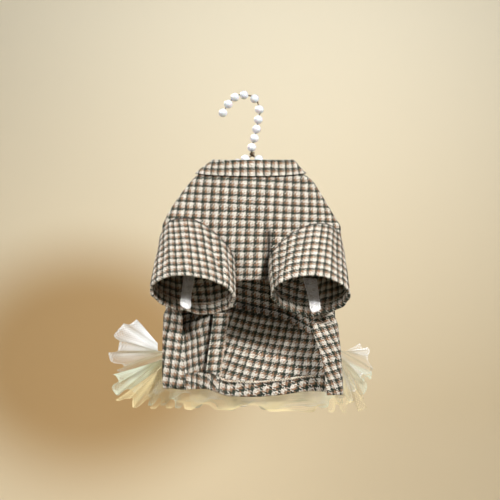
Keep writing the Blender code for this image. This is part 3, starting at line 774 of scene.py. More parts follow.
def lengths_up(points):
    """Distance up each column from its last row."""
    return lengths_down(points[::-1])[::-1]


def mesh_of(name, points, chart, closed=False):
    """A mesh over a lattice, whose UV map `cloth` holds the weave's own place."""
    rows, columns = points.shape[:2]
    world = (points + (DRESS_CENTRE, 0, 0)) * MM
    squares = columns if closed else columns - 1
    faces, places = [], []
    for j in range(rows - 1):
        for i in range(squares):
            right = (i + 1) % columns
            faces.append((j * columns + i, (j + 1) * columns + i,
                          (j + 1) * columns + right, j * columns + right))
            places += [chart[j, i], chart[j + 1, i], chart[j + 1, i + 1], chart[j, i + 1]]
    mesh = bpy.data.meshes.new(name)
    mesh.from_pydata(world.reshape(-1, 3).tolist(), [], faces)
    layer = mesh.uv_layers.new(name="cloth")
    layer.data.foreach_set("uv", np.array(places, dtype=np.float32).ravel())
    mesh.shade_smooth()
    return placed(name, mesh)


def painted(thing, name, values):
    """Store a number at each place of a piece, for its material to read."""
    layer = thing.data.attributes.new(name, "FLOAT", "POINT")
    layer.data.foreach_set("value", values.ravel().astype(np.float32))


def paint_shade(thing, depth):
    """Paint shade into the cloth, from 0 to 1 at each place: at seams, in creases and close under or
    beside other pieces.
    """
    # the attribute named seam holds this painted shade
    painted(thing, "seam", np.clip(depth, 0, 1))


def walled(thing, thickness=WALL, even=True):
    """Give an open sheet its thickness."""
    wall = thing.modifiers.new("wall", "SOLIDIFY")
    wall.thickness = thickness * MM
    wall.offset = 0.0
    wall.use_quality_normals = even
    apply_modifiers(thing)
    return thing


def fold_relief(folds, x, z):
    """Sum of the folds' heights at places x, z."""
    total = np.zeros_like(x)
    for fold in folds:
        run = np.array([fold.x1 - fold.x0, fold.z1 - fold.z0], dtype=float)
        along = ((x - fold.x0) * run[0] + (z - fold.z0) * run[1]) / (run @ run)
        along = np.clip(along, 0, 1)
        away = np.hypot(x - fold.x0 - along * run[0], z - fold.z0 - along * run[1]) / fold.width
        total += fold.height * np.exp(-2.2 * away ** 2)
    return total


def ripple(x, z, swell):
    """A soft uneven swell of a piece at places x, z."""
    total = np.zeros_like(x)
    for n, (way, stretch) in enumerate(SWELL_WAVES):
        way += swell.seed * 1.3
        total += np.sin(2 * pi * (x * cos(way) + z * sin(way)) / (swell.wavelength * stretch)
                        + swell.seed * 2.1 + n * 1.7)
    return swell.height * (total / 2.6)


def around(points):
    """Distance round the body, flattened out: across, plus what the side turns back."""
    x, y = points[..., 0], points[..., 1]
    deepest = np.abs(y).max(axis=-1, keepdims=True)
    return x + np.sign(x) * (deepest - np.abs(y)) * SIDE_STRETCH


def charted(across, up, phase=(0.0, 0.0)):
    """UV places in repeats of the check, from millimetres of cloth."""
    settings = bpy.context.scene.dress_cloth
    return np.stack([across * MM / settings.check_width + phase[0],
                     up * MM / settings.check_height + phase[1]], axis=-1)


# ---------------------------------------------------------------- materials

class Graph:
    """The nodes of one material."""

    def __init__(self, name):
        self.material = bpy.data.materials.new(name)
        self.material.use_nodes = True
        self.nodes = self.material.node_tree.nodes
        self.links = self.material.node_tree.links
        self.shader = self.nodes["Principled BSDF"]

    def give(self, value, socket):
        if isinstance(value, bpy.types.NodeSocket):
            self.links.new(value, socket)
        else:
            socket.default_value = value

    def math(self, operation, *values):
        node = self.nodes.new("ShaderNodeMath")
        node.operation = operation
        for value, socket in zip(values, node.inputs):
            self.give(value, socket)
        return node.outputs[0]

    def times(self, first, second):
        return self.math("MULTIPLY", first, second)

    def plus(self, first, second):
        return self.math("ADD", first, second)

    def minus(self, first, second):
        return self.math("SUBTRACT", first, second)

    def below(self, first, second):
        return self.math("LESS_THAN", first, second)

    def mix(self, share, first, second, blend_type="MIX"):
        node = self.nodes.new("ShaderNodeMix")
        node.data_type = "RGBA"
        node.blend_type = blend_type
        self.give(share, node.inputs[0])
        self.give(first, node.inputs[6])
        self.give(second, node.inputs[7])
        return node.outputs[2]

    def noise(self, vector, scale, detail=2.0, roughness=0.5):
        node = self.nodes.new("ShaderNodeTexNoise")
        self.give(vector, node.inputs["Vector"])
        node.inputs["Scale"].default_value = scale
        node.inputs["Detail"].default_value = detail
        node.inputs["Roughness"].default_value = roughness
        return node.outputs[0]

    def ranged(self, value, low, high, to_low=0.0, to_high=1.0):
        node = self.nodes.new("ShaderNodeMapRange")
        for item, socket in zip((value, low, high, to_low, to_high), node.inputs):
            self.give(item, socket)
        return node.outputs[0]

    def place(self):
        return self.nodes.new("ShaderNodeTexCoord").outputs["Object"]

    def stretched(self, vector, scale, turn=(0, 0, 0)):
        node = self.nodes.new("ShaderNodeMapping")
        self.give(vector, node.inputs["Vector"])
        node.inputs["Scale"].default_value = scale
        node.inputs["Rotation"].default_value = turn
        return node.outputs[0]

    def chart(self):
        """The UV map `cloth`, whole and as its two parts."""
        node = self.nodes.new("ShaderNodeUVMap")
        node.uv_map = "cloth"
        return node.outputs[0], *self.parts(node.outputs[0])[:2]

    def parts(self, vector):
        node = self.nodes.new("ShaderNodeSeparateXYZ")
        self.links.new(vector, node.inputs[0])
        return node.outputs[:]

    def attribute(self, name):
        node = self.nodes.new("ShaderNodeAttribute")
        node.attribute_name = name
        return node.outputs["Fac"]

    def relief(self, height, distance, strength=1.0):
        node = self.nodes.new("ShaderNodeBump")
        node.inputs["Strength"].default_value = strength
        node.inputs["Distance"].default_value = distance
        self.links.new(height, node.inputs["Height"])
        self.links.new(node.outputs[0], self.shader.inputs["Normal"])

    def finish(self, **values):
        for name, value in values.items():
            self.give(value, self.shader.inputs[name.replace("_", " ")])
        return self.material


def colour(value):
    return (*value, 1.0)


def banded(graph, end, pick):
    """Colours of warp and weft at a crossing, and whether its end or its pick is green."""
    settings = bpy.context.scene.dress_cloth
    ivory, brown, green = (colour(c) for c in (settings.ivory, settings.brown, settings.green))
    in_warp = graph.math("FLOORED_MODULO", end, WARP_THREADS)
    in_weft = graph.math("FLOORED_MODULO", pick, WEFT_THREADS)
    green_end = graph.below(in_warp, WARP_GREEN - 0.5)
    ivory_pick = graph.below(in_weft, WEFT_IVORY - 0.5)
    early_pick = graph.below(in_weft, WEFT_IVORY + WEFT_GREEN - 0.5)
    green_pick = graph.minus(early_pick, ivory_pick)
    warp = graph.mix(graph.below(in_warp, WARP_GREEN + WARP_BROWN - 0.5), ivory, brown)
    warp = graph.mix(green_end, warp, green)
    weft = graph.mix(ivory_pick, graph.mix(early_pick, brown, green), ivory)
    return warp, weft, green_end, green_pick


def warp_above(graph, end, pick, picks, green_end, green_pick):
    step = graph.math("FLOORED_MODULO", graph.minus(end, pick), TWILL)
    odd_end = graph.math("FLOORED_MODULO", end, 2.0)
    floats = graph.plus(TWILL / 2 - 0.5, graph.minus(graph.times(green_end, odd_end), green_pick))
    off_pick = graph.math("ABSOLUTE", graph.minus(graph.math("FRACT", picks), 0.5))
    beside_pick = graph.math("GREATER_THAN", off_pick, WEFT_COVER / 2)
    beside_pick = graph.times(beside_pick, graph.minus(1.0, green_pick))
    return graph.math("MAXIMUM", graph.below(step, floats), beside_pick)


def float_height(graph, thread, start):
    """Height of a float: round across its thread, and sinking at both its ends."""
    round_thread = graph.math("SINE", graph.times(graph.math("FRACT", thread), pi))
    along = graph.times(graph.math("FLOORED_MODULO", start, TWILL), 2 * pi / TWILL)
    rise = graph.math("ABSOLUTE", graph.math("SINE", along))
    return graph.times(graph.math("SQRT", round_thread), graph.plus(0.45, graph.times(rise, 0.55)))


def crossing_tone(graph, end, pick):
    """A number of its own for each crossing of two threads."""
    spot = graph.nodes.new("ShaderNodeCombineXYZ")
    graph.give(end, spot.inputs[0])
    graph.give(pick, spot.inputs[1])
    uneven = graph.nodes.new("ShaderNodeTexWhiteNoise")
    graph.give(spot.outputs[0], uneven.inputs["Vector"])
    return uneven.outputs[0]


def wool_check():
    """Brushed wool in a 2/2 twill: warp and weft each run ivory, brown and dark green."""
    found = bpy.data.materials.get("cloth_check")
    if found:
        return found
    settings = bpy.context.scene.dress_cloth
    graph = Graph("cloth_check")
    chart, across, up = graph.chart()
    wobble = graph.times(graph.minus(graph.noise(chart, 3.1), 0.5), 0.10)
    ends = graph.times(graph.plus(across, wobble), WARP_THREADS)
    picks = graph.times(graph.plus(up, wobble), WEFT_THREADS)
    end, pick = graph.math("FLOOR", ends), graph.math("FLOOR", picks)
    warp, weft, green_end, green_pick = banded(graph, end, pick)
    above = warp_above(graph, end, pick, picks, green_end, green_pick)
    warp_height = float_height(graph, ends, graph.plus(graph.minus(end, picks), 1.0))
    weft_height = float_height(graph, picks, graph.minus(ends, pick))
    height = graph.plus(graph.times(warp_height, above),
                        graph.times(weft_height, graph.minus(1.0, above)))

    # painted shade: darker between the threads and where floats sink, by the depth setting
    tone = graph.mix(graph.ranged(height, 0.1, 0.9, settings.depth, 0.0),
                     graph.mix(above, weft, warp), BLACK)
    uneven = graph.ranged(crossing_tone(graph, end, pick), 0.0, 1.0, 0.0, settings.unevenness)
    tone = graph.mix(uneven, tone, BLACK)
    slubs = graph.noise(graph.stretched(chart, (36, 5, 1)), 1.0, 3.0, 0.6)
    tone = graph.mix(graph.ranged(slubs, 0.35, 0.75, 0.0, 0.30), tone, SLUB, "SOFT_LIGHT")
    place = graph.place()
    fibres = graph.noise(place, 1500.0, 3.0, 0.7)
    hairs = graph.ranged(fibres, 0.50, 0.78, 0.0, settings.hairiness * 2)
    tone = graph.mix(hairs, tone, colour(settings.ivory))
    patches = graph.noise(place, 38.0)
    tone = graph.mix(graph.ranged(patches, 0.3, 0.7, 0.0, 0.16), tone, WORN_PATCH, "MULTIPLY")
    # painted shade: the attribute named seam darkens the wool towards near black
    tone = graph.mix(graph.attribute("seam"), tone, PAINTED_SHADE)
    graph.relief(graph.plus(height, graph.times(fibres, 0.5)), 0.00030, 0.9)
    return graph.finish(Base_Color=tone, Roughness=0.94, Sheen_Weight=0.05,
                        Sheen_Roughness=0.5, Specular_IOR_Level=0.15)


def net_cloth(name, tone, haze):
    """Soft net: fine crossed threads over a haze of threads too thin to tell apart."""
    graph = Graph(name)
    across, up = graph.chart()[1:]
    threads = 0.0
    for way in NET_THREAD_WAYS:
        run = graph.plus(graph.times(across, cos(radians(way)) / NET_MESH),
                         graph.times(up, sin(radians(way)) / NET_MESH))
        off_thread = graph.math("ABSOLUTE", graph.minus(graph.math("FRACT", run), 0.5))
        line = graph.ranged(off_thread, 0.0, NET_THREAD, 1.0, 0.0)
        threads = graph.math("MAXIMUM", threads, line)
    cloudy = graph.noise(graph.place(), 60.0, 3.0, 0.55)
    cover = graph.plus(graph.times(threads, NET_THREAD_COVER),
                       graph.ranged(cloudy, 0.3, 0.7, haze * 0.7, haze * 1.3))
    cover = graph.plus(cover, graph.attribute("thick"))
    graph.relief(threads, 0.0002, 0.5)
    bright = colour([min(1.0, c * 1.12) for c in tone])
    clouded = graph.mix(graph.ranged(cloudy, 0.3, 0.75, 0.0, 0.35), colour(tone), bright)
    return graph.finish(Base_Color=clouded, Roughness=0.85, Alpha=cover, Sheen_Weight=0.4,
                        Sheen_Roughness=0.5, Specular_IOR_Level=0.3)


def lace_thread():
    """White cotton-like lace thread."""
    graph = Graph("thread_lace")
    grain = graph.noise(graph.place(), 2600.0, 3.0, 0.6)
    tone = graph.mix(graph.ranged(grain, 0.35, 0.7), LACE_DARK, LACE_PALE)
    graph.relief(grain, 0.0003, 0.7)
    return graph.finish(Base_Color=tone, Roughness=0.6, Sheen_Weight=0.3, Specular_IOR_Level=0.5)


def sewing_thread(name, dye):
    """Twisted sewing thread."""
    graph = Graph(name)
    twist = graph.noise(graph.place(), 3000.0)
    tone = graph.mix(graph.ranged(twist, 0.3, 0.7, 0.0, 0.5), colour(dye),
                     colour([c * 0.6 for c in dye]))
    graph.relief(twist, 0.0001, 0.6)
    return graph.finish(Base_Color=tone, Roughness=0.7, Specular_IOR_Level=0.4)


def pearl(paint):
    """Glossy painted bead with a faint mottle."""
    graph = Graph("bead_gloss")
    mottle = graph.noise(graph.place(), 420.0, 3.0, 0.6)
    tone = graph.mix(graph.ranged(mottle, 0.3, 0.7), colour([c * 0.93 for c in paint]),
                     colour([min(1.0, c * 1.05) for c in paint]))
    graph.relief(mottle, 0.00006, 0.5)
    return graph.finish(Base_Color=tone, Roughness=graph.ranged(mottle, 0.3, 0.7, 0.16, 0.26),
                        Coat_Weight=0.6, Coat_Roughness=0.08, Subsurface_Weight=0.15)


def aged_wire(bronze):
    """Dark bronze wire, brighter where it is rubbed."""
    graph = Graph("wire_aged")
    wear = graph.noise(graph.place(), 900.0, 4.0, 0.6)
    tone = graph.mix(graph.ranged(wear, 0.5, 0.75, 0.0, 0.8), colour(bronze), RUBBED_BRONZE)
    graph.relief(wear, 0.00008, 0.5)
    return graph.finish(Base_Color=tone, Metallic=0.9,
                        Roughness=graph.ranged(wear, 0.4, 0.8, 0.45, 0.28))


# ---------------------------------------------------------------- bodice

class DRESS_OT_chest(bpy.types.Operator):
    """Chest panel with its two armholes"""

    bl_idname = "dress.chest"
    bl_label = "Chest panel"

    def execute(self, context):
        def surface(i, j):
            turn = blend(-90 + SIDE_SEAM_TURN, 90 - SIDE_SEAM_TURN, i)
            return body(turn, blend(NECK_HEIGHT, belly_edge(turn), j))

        points = lattice(surface, *CHEST_GRID)
        x, z = points[..., 0], points[..., 2]
        relief = fold_relief(CHEST_FOLDS + CHEST_CREASES, x, z) + ripple(x, z, CHEST_SWELL)
        down = np.linspace(0, 1, points.shape[0])[:, None]
        at_edge = np.clip((down - BELLY_EDGE_SWELLS_FROM) / (1 - BELLY_EDGE_SWELLS_FROM), 0, 1)
        relief += at_edge * ripple(x, z, CHEST_EDGE_SWELL)
        rise = CHEST_RISE * x * np.clip((z - CHEST_RISE_FROM) / CHEST_RISE_FADE, 0, 1)
        chart = charted(around(points) - CHEST_LEAN * (z - CHEST_LEAN_FROM), z + rise, CHEST_PHASE)
        panel = mesh_of("chest_cloth", lifted(points, relief), chart)
        # painted shade in the chest's crease, darker where it is deeper
        paint_shade(panel, -CREASE_SHADE * fold_relief(CHEST_CREASES, x, z))
        walled(panel, even=False)
        plugs = [armhole_plug(sleeve) for sleeve in SLEEVES]
        for plug in plugs:
            cut = panel.modifiers.new("armhole", "BOOLEAN")
            cut.object = plug
            cut.operation = "DIFFERENCE"
        apply_modifiers(panel)
        for plug in plugs:
            bpy.data.objects.remove(plug, do_unlink=True)
        finished(panel, wool_check(), "wool_check", "chest_panel")
        return {"FINISHED"}


class DRESS_OT_back(bpy.types.Operator):
    """Back of the bodice, whose lower edge rolls over the skirt"""

    bl_idname = "dress.back"
    bl_label = "Back bodice"

    def execute(self, context):
        def surface(i, j):
            turn = blend(-90 - SIDE_SEAM_TURN, -270 + SIDE_SEAM_TURN, i)
            height = blend(NECK_HEIGHT, WAIST(edge_across(turn)), j)
            return moved_out(body, turn, height, -roll(turn, height))

        points = lattice(surface, *BACK_GRID)
        x, z = points[..., 0], points[..., 2]
        relief = fold_relief(BACK_FOLDS, x, z) + ripple(x, z, BACK_SWELL)
        waist = points[-1:, :, 2]
        share = np.clip((BACK_LEVEL_FROM - z) / BACK_LEVEL_FADE, 0, 1)
        up = z - (waist - waist.mean()) * share * share * (3 - 2 * share)
        chart = charted(around(points), up, BACK_PHASE)
        panel = mesh_of("back_cloth", lifted(points, relief), chart)
        walled(panel)
        finished(panel, wool_check(), "wool_check", "back_bodice")
        return {"FINISHED"}


# ---------------------------------------------------------------- skirt

def folded_wall(points, inward, rows_in, depth):
    """Carry a wall on round its last row and back up inside it, as a turned hem.

    Returns the longer lattice and, for each row, its distance from the fold: above 0 outside.
    """
    outside = lengths_up(points)
    down = points[-1] - points[-2]
    down /= np.linalg.norm(down, axis=1, keepdims=True)
    rows, places = [points], [outside]
    for turn in (0.25, 0.5, 0.75):
        angle = pi * turn
        rolled = inward[-1] * LAP / 2 * (1 - cos(angle)) + down * LAP / 2 * sin(angle)
        rows.append((points[-1] + rolled)[None])
        places.append(np.full((1, points.shape[1]), -LAP * turn))
    for n in range(rows_in + 1):
        back = depth * n / rows_in
        row, place = [], []
        for i in range(points.shape[1]):
            lengths = outside[::-1, i]
            k = int(np.searchsorted(lengths, back, side="right")) - 1
            k = min(max(k, 0), points.shape[0] - 2)
            t = (back - lengths[k]) / (lengths[k + 1] - lengths[k])
            a, b = points.shape[0] - 1 - k, points.shape[0] - 2 - k
            row.append(points[a, i] * (1 - t) + points[b, i] * t
                       + (inward[a, i] * (1 - t) + inward[b, i] * t) * LAP)
            place.append(-LAP - back)
        rows.append(np.array(row)[None])
        places.append(np.array(place)[None])
    return np.concatenate(rows), np.concatenate(places)


def skirt_rows(points, left):
    """Height of each place along the skirt's weave; the check lies aslant on each stretch."""
    x, y, z = points[..., 0], points[..., 1], points[..., 2]
    if left:
        from_side = x - SKIRT_SIDE_LEFT
        return np.where(y < 0, z + FLAP_SLOPE_LEFT * from_side, z - SKIRT_SLOPE * from_side)

    def level(from_seam):
        return SKIRT_SLOPE * from_seam - SKIRT_BOW * from_seam ** 2

    on_back = level(np.minimum(x, SKIRT_SIDE_RIGHT) - SKIRT_SEAM)
    on_flap = level(SKIRT_SIDE_RIGHT - SKIRT_SEAM) - FLAP_SLOPE_RIGHT * (x - SKIRT_SIDE_RIGHT)
    return z + np.where(y < 0, on_flap, on_back)


def skirt_columns(points, left):
    """Distance round a panel from its first edge, square to the rows of its check."""
    x, y, z = points[..., 0], points[..., 1], points[..., 2]
    steps = np.hypot(np.diff(x, axis=1), np.diff(y, axis=1))
    gone = np.concatenate([np.zeros((x.shape[0], 1)), np.cumsum(steps, axis=1)], axis=1)
    front = np.clip(0.5 - y / 8, 0, 1)
    if left:
        lean = SKIRT_LEAN_LEFT + FLAP_LEAN_LEFT * front
    else:
        inside = SKIRT_SLOPE - SKIRT_LEAN_BOW * (x - SKIRT_SEAM)
        inside = np.clip(inside, SKIRT_LEAST_LEAN, SKIRT_SLOPE)
        lean = -inside * (1 - front) - FLAP_SLOPE_RIGHT * front
    return gone + lean * (z - SKIRT_LEAN_FROM)


class DRESS_OT_skirt(bpy.types.Operator):
    """Two panels of the skirt with their turned-up hem"""

    bl_idname = "dress.skirt"
    bl_label = "Skirt"

    def panel(self, side, start, end):
        """One panel between its first and last edge, which are turns by the share down."""
        def surface(i, j):
            turn = blend(start(j), end(j), i)
            top, hem = skirt_edges(turn)
            return skirt(turn, blend(top, hem, j))

        left = side == "left"
        points = lattice(surface, *SKIRT_GRIDS[side])
        normals = normals_of(points)
        centre = points * (0.9, 0, 1)
        if (normals * (points - centre)).sum() < 0:
            normals = -normals
        x, z = points[..., 0], points[..., 2]
        on_back = (points[..., 1] > 0).astype(float)
        relief = -fold_relief(SKIRT_FOLDS, x, z) * on_back + ripple(x, z, SKIRT_SWELLS[side])
        away_from_top = np.clip(np.linspace(0, 1, points.shape[0]) * 6, 0, 1)[:, None]
        points = points + normals * (relief * away_from_top)[..., None]

        rows, columns = skirt_rows(points, left), skirt_columns(points, left)
        walls, places = folded_wall(points, -normals, HEM_ROWS, HEM_BAND)
        band = places[points.shape[0]:]
        up = np.concatenate([rows, rows[-1:] + band])
        round_it = np.concatenate([columns, np.repeat(columns[-1:], band.shape[0], axis=0)])
        way = 1 if left else -1
        chart = charted(way * up, way * round_it, SKIRT_PHASE)
        cloth = walled(mesh_of("skirt_cloth_" + side, walls, chart))
        spots = np.array([vert.co[:] for vert in cloth.data.vertices]) / MM - (DRESS_CENTRE, 0, 0)
        to_viewer = np.array([vert.normal.y < 0 for vert in cloth.data.vertices])
        # painted shade on the faces turned to the viewer
        paint_shade(cloth, self.shade(*spots.T, left) * to_viewer)
        finished(cloth, wool_check(), "wool_check", "skirt_" + side, "hem_" + side)
        return cloth

    @staticmethod
    def shade(x, y, z, left):
        """Painted shade: where the skirt's inner face lies close under the bodice's edge or beside
        the facing, and where the left flap's outer face lies just under the cuff.
        """
        under_bodice = np.clip(1 - (np.vectorize(WAIST)(x) - z) / UNDER_BODICE_FADE, 0, 1)
        depth = UNDER_BODICE_SHADE * under_bodice
        if left:
            down = np.clip((FACING_TOP - z) / (FACING_TOP - FACING_FOOT), 0, 1)
            edge = blend(SEAM_ACROSS_TOP - FACING_WIDTH_TOP,
                         SEAM_ACROSS_HEM - FACING_WIDTH_HEM, down)
            beside = np.clip(1 - (edge - x) / BESIDE_FACING_FADE, 0, 1)
            above_hem = z > np.vectorize(HEM)(x) + HEM_BAND
            depth = np.maximum(depth, BESIDE_FACING_SHADE * beside * above_hem)
            under_cuff = np.clip((z - UNDER_CUFF) / UNDER_CUFF_FADE, 0, 1)
            return np.where(y > 0, depth, UNDER_CUFF_SHADE * under_cuff)
        return depth * (y > 0)

    def execute(self, context):
        def seam(j, gap):
            return seam_turn(blend(SKIRT_TOP, SKIRT_HEM, j)) + gap

        left = self.panel(
            "left", lambda j: flap_turn(-1, blend(LEFT_FLAP_TOP, LEFT_FLAP_HEM, j)),
            lambda j: seam(j, SEAM_TURN_GAP))
        right = self.panel(
            "right", lambda j: seam(j, -SEAM_TURN_GAP),
            lambda j: flap_turn(1, blend(RIGHT_FLAP_TOP, RIGHT_FLAP_HEM, j)) - 360)
        return {"FINISHED"}


class DRESS_OT_facing(bpy.types.Operator):
    """Seam allowance pressed to the left of the skirt's upright seam"""

    bl_idname = "dress.facing"
    bl_label = "Seam facing"

    def execute(self, context):
        def surface(i, j):
            seam = blend(SEAM_ACROSS_TOP, SEAM_ACROSS_HEM, j)
            width = blend(FACING_WIDTH_TOP, FACING_WIDTH_HEM, j)
            across = blend(seam - width, seam + FACING_PAST_SEAM, i)
            height = blend(FACING_TOP, HEM(across) + HEM_BAND + 1, j)
            lift = LAP + SKIRT_CLEARANCE + FACING_LIFT * (1 - i) ** 2
            return inside_skirt(across, height, lift)

        points = lattice(surface, *FACING_GRID)
        x, z = points[..., 0], points[..., 2]
        chart = charted(x - FACING_LEAN * (z - FACING_LEAN_FROM), z, FACING_PHASE)
        strip = mesh_of("facing_cloth", lifted(points, ripple(x, z, FACING_SWELL)), chart)
        walled(strip, FACING_WALL)
        finished(strip, wool_check(), "wool_check", "seam_facing")
        return {"FINISHED"}


class DRESS_OT_collar(bpy.types.Operator):
    """Turned-down collar"""

    bl_idname = "dress.collar"
    bl_label = "Collar"

    def execute(self, context):
        stand, fold = COLLAR_STAND_END, COLLAR_FOLD_END
        fold_height = COLLAR_TOP - COLLAR_TURN

        def surface(i, j):
            turn = -360 * i
            fall = COLLAR_FALL - COLLAR_SAG * max(0.0, cos(radians(turn))) ** 2
            if j <= stand:
                return body(turn, blend(COLLAR_STAND_FOOT, fold_height, j / stand))
            if j <= fold:
                arc = (j - stand) / (fold - stand) * pi
                height = fold_height + sin(arc) * COLLAR_FOLD_RISE
                return moved_out(body, turn, height, COLLAR_LAP * (1 - cos(arc)) / 2)
            share = (j - fold) / (1 - fold)
            lap = COLLAR_LAP + COLLAR_SIDE_LAP * abs(sin(radians(turn))) ** 8 * share
            return moved_out(body, turn, blend(fold_height, fall, share), lap)

        points = lattice(surface, *COLLAR_GRID, closed=True)
        x, z = points[..., 0], points[..., 2]
        down = np.linspace(0, 1, points.shape[0])
        fall_share = np.clip((down - fold) / (1 - fold), 0, 1)[:, None]
        relief = fall_share * ripple(x, z, COLLAR_SWELL)
        shape = lifted(points, relief, closed=True)
        lengths = lengths_down(points)
        lengths = lengths[-1:] - lengths
        ring = np.concatenate([around(points), around(points)[:, :1]], axis=1)
        lengths = np.concatenate([lengths, lengths[:, :1]], axis=1)
        chart = charted(-lengths, ring, COLLAR_PHASE)
        band = walled(mesh_of("collar_cloth", shape, chart, closed=True))
        finished(band, wool_check(), "wool_check", "collar")
        return {"FINISHED"}


# ---------------------------------------------------------------- sleeves

def root_outline(sleeve, angle, inset=0.0, outer_inset=0.0):
    """Across and height of the sleeve's root; angle 90 is its top, 0 its inner side."""
    c, s = cos(radians(angle)), sin(radians(angle))
    inner = c > 0
    power = INNER_ROOT_POWER if inner else OUTER_ROOT_POWER
    if s < 0:
        power = LOWER_ROOT_POWER
    half = sleeve.inner - inset if inner else sleeve.outer - outer_inset
    rise = (sleeve.up if s > 0 else sleeve.down) - inset
    across = half * abs(c) ** (2 / power) * (1 if inner else -1)
    height = sleeve.root_z + rise * abs(s) ** (2 / power) * (1 if s > 0 else -1)
    return sleeve.root_x - sleeve.side * across, height


def armhole_plug(sleeve):
    """An upright plug, a little inside the sleeve's root, that opens the chest panel."""
    shape = bmesh.new()
    front = []
    for step in range(PLUG_SIDES):
        across, height = root_outline(sleeve, 360 * step / PLUG_SIDES, ARMHOLE_INSET,
                                      ARMHOLE_OUTER_INSET)
        front.append(shape.verts.new(Vector((across + DRESS_CENTRE, PLUG_FRONT, height)) * MM))
    face = shape.faces.new(front)
    pushed = bmesh.ops.extrude_face_region(shape, geom=[face])
    back = [item for item in pushed["geom"] if isinstance(item, bmesh.types.BMVert)]
    bmesh.ops.translate(shape, verts=back, vec=Vector((0, PLUG_DEPTH, 0)) * MM)
    bmesh.ops.recalc_face_normals(shape, faces=shape.faces[:])
    return placed("armhole_plug_" + sleeve.name, mesh_from(shape, "armhole_plug"))


def sleeve_surface(sleeve):
    """surface(angle, along): middle of the sleeve's cloth from root (0) to cuff rim (1)."""
    roots = {}

    def root(angle):
        if angle not in roots:
            across, height = root_outline(sleeve, angle)
            reach = REACH[-1 if across < 0 else 1](height)
            share = max(-0.998, min(0.998, across / reach))
            roots[angle] = moved_out(body, degrees(asin(share)), height, LAP + SLEEVE_ROOT_GAP)
        return roots[angle]

    def cuff(angle):
        c, s = cos(radians(angle)), sin(radians(angle))
        across = -sleeve.side * c * sleeve.half_x
        return Vector((sleeve.cuff_x + across,
                       sleeve.cuff_y - s * sleeve.half_y,
                       sleeve.cuff_z + s * sleeve.half_z + across * sin(radians(sleeve.tilt))))

    def surface(angle, along):
        upper = max(0.0, sin(radians(angle)))
        sideways = -sleeve.side * cos(radians(angle)) * SLEEVE_SIDE_PUFF
        puff = Vector((sideways, -0.5 * SLEEVE_PUFF * upper, SLEEVE_PUFF * upper))
        return root(angle).lerp(cuff(angle), along) + puff * sin(pi * along ** SLEEVE_PUFF_ROOTWARD)

    return surface


def sleeve_lattice(sleeve, columns, rows):
    """The sleeve's wall and its outward normals."""
    surface = sleeve_surface(sleeve)
    points = lattice(lambda i, j: surface(round(UNDER_ARM + 360 * i, 6) % 360, j), columns, rows,
                     closed=True)
    normals = normals_of(points, closed=True)
    if (normals * (points - points.mean(axis=1, keepdims=True))).sum() < 0:
        normals = -normals
    return points, normals


class DRESS_OT_sleeves(bpy.types.Operator):
    """Two short sleeves with their turned-in cuffs"""

    bl_idname = "dress.sleeves"
    bl_label = "Sleeves"

    def execute(self, context):
        for sleeve in SLEEVES:
            columns, rows = SLEEVE_GRID
            points, normals = sleeve_lattice(sleeve, columns, rows)
            angle = (UNDER_ARM + np.linspace(0, 360, columns, endpoint=False)) % 360
            angle = angle[None, :].repeat(rows + 1, 0)
            from_rim, from_seam = lengths_up(points), lengths_down(points)
            relief = fold_relief(SLEEVE_FOLDS[sleeve.name], angle, from_rim)
            swell = ripple(angle * MM_TO_A_DEGREE, from_rim, SLEEVE_SWELLS[sleeve.name])
            relief += swell * np.clip(from_rim / SWELL_REACH, 0, 1)
            tucked = np.clip(1 - np.linspace(0, 1, rows + 1)[:, None] * ROOT_TUCK_FADE, 0, 1)
            points = points + normals * (relief - ROOT_TUCK * tucked)[..., None]
            waver = sum(np.sin(np.radians(angle * k) + 1.7 * k + sleeve.side) for k in RIM_WAVES)
            waver = waver * np.clip(1 - from_rim / RIM_REACH, 0, 1)
            down = np.gradient(points, axis=0)
            down /= np.linalg.norm(down, axis=2, keepdims=True)
            points = points + (normals * RIM_OUT + down * RIM_DOWN) * waver[..., None]
            walls, places = folded_wall(points, -normals, CUFF_ROWS, CUFF_HEM)
            rim = points[-1]
            spacing = np.linalg.norm(np.diff(np.vstack([rim, rim[:1]]), axis=0), axis=1)
            round_rim = np.concatenate([[0], np.cumsum(spacing)])
            across = np.repeat(round_rim[None], walls.shape[0], axis=0)
            up = np.concatenate([places, places[:, :1]], axis=1)
            chart = charted(up * SLEEVE_CHECK * -sleeve.side, across, SLEEVE_PHASES[sleeve.name])
            cloth = mesh_of("sleeve_cloth_" + sleeve.name, walls, chart, closed=True)
            inside = np.full((walls.shape[0] - rows - 1, columns), CUFF_HEM)
            from_seam = np.concatenate([from_seam, inside])
            # painted shade along the sleeve's root seam, fading over its first few millimetres
            paint_shade(cloth, ARMHOLE_SHADE - from_seam / ARMHOLE_SHADE_FADE)
            walled(cloth)
            finished(cloth, wool_check(), "wool_check", "sleeve_" + sleeve.name,
                     "cuff_hem_" + sleeve.name)
        return {"FINISHED"}


# ---------------------------------------------------------------- lace

def lace_thread_here(across, along):
    """True where the lace has thread: scalloped border, flowers and a ground of round holes."""
    above_end = LACE_END_LENGTH - along
    if above_end > 0 and (across / LACE_END_HALF) ** 2 + (above_end / LACE_END_LENGTH) ** 2 > 1:
        return False
    scallop = LACE_WIDTH / 2 - SCALLOP_DEPTH + SCALLOP_DEPTH * abs(sin(pi * along / SCALLOP_PITCH))
    if abs(across) > scallop - BORDER_WIDTH:
        return abs(across) <= scallop
    from_flower = along % FLOWER_PITCH - FLOWER_PITCH / 2
    away = (across ** 2 + from_flower ** 2) ** 0.5
    petal = PETAL_REACH + PETAL_SWELL * cos(PETALS * atan2(from_flower, across))
    if petal - PETAL_WIDTH < away < petal or away < FLOWER_MIDDLE:
        return True
    shift = MESH_ACROSS / 2 if int(along // MESH_ALONG) % 2 else 0.0
    hole_x = (across + shift) % MESH_ACROSS - MESH_ACROSS / 2
    hole_z = along % MESH_ALONG - MESH_ALONG / 2
    return hole_x ** 2 + hole_z ** 2 > MESH_HOLE ** 2


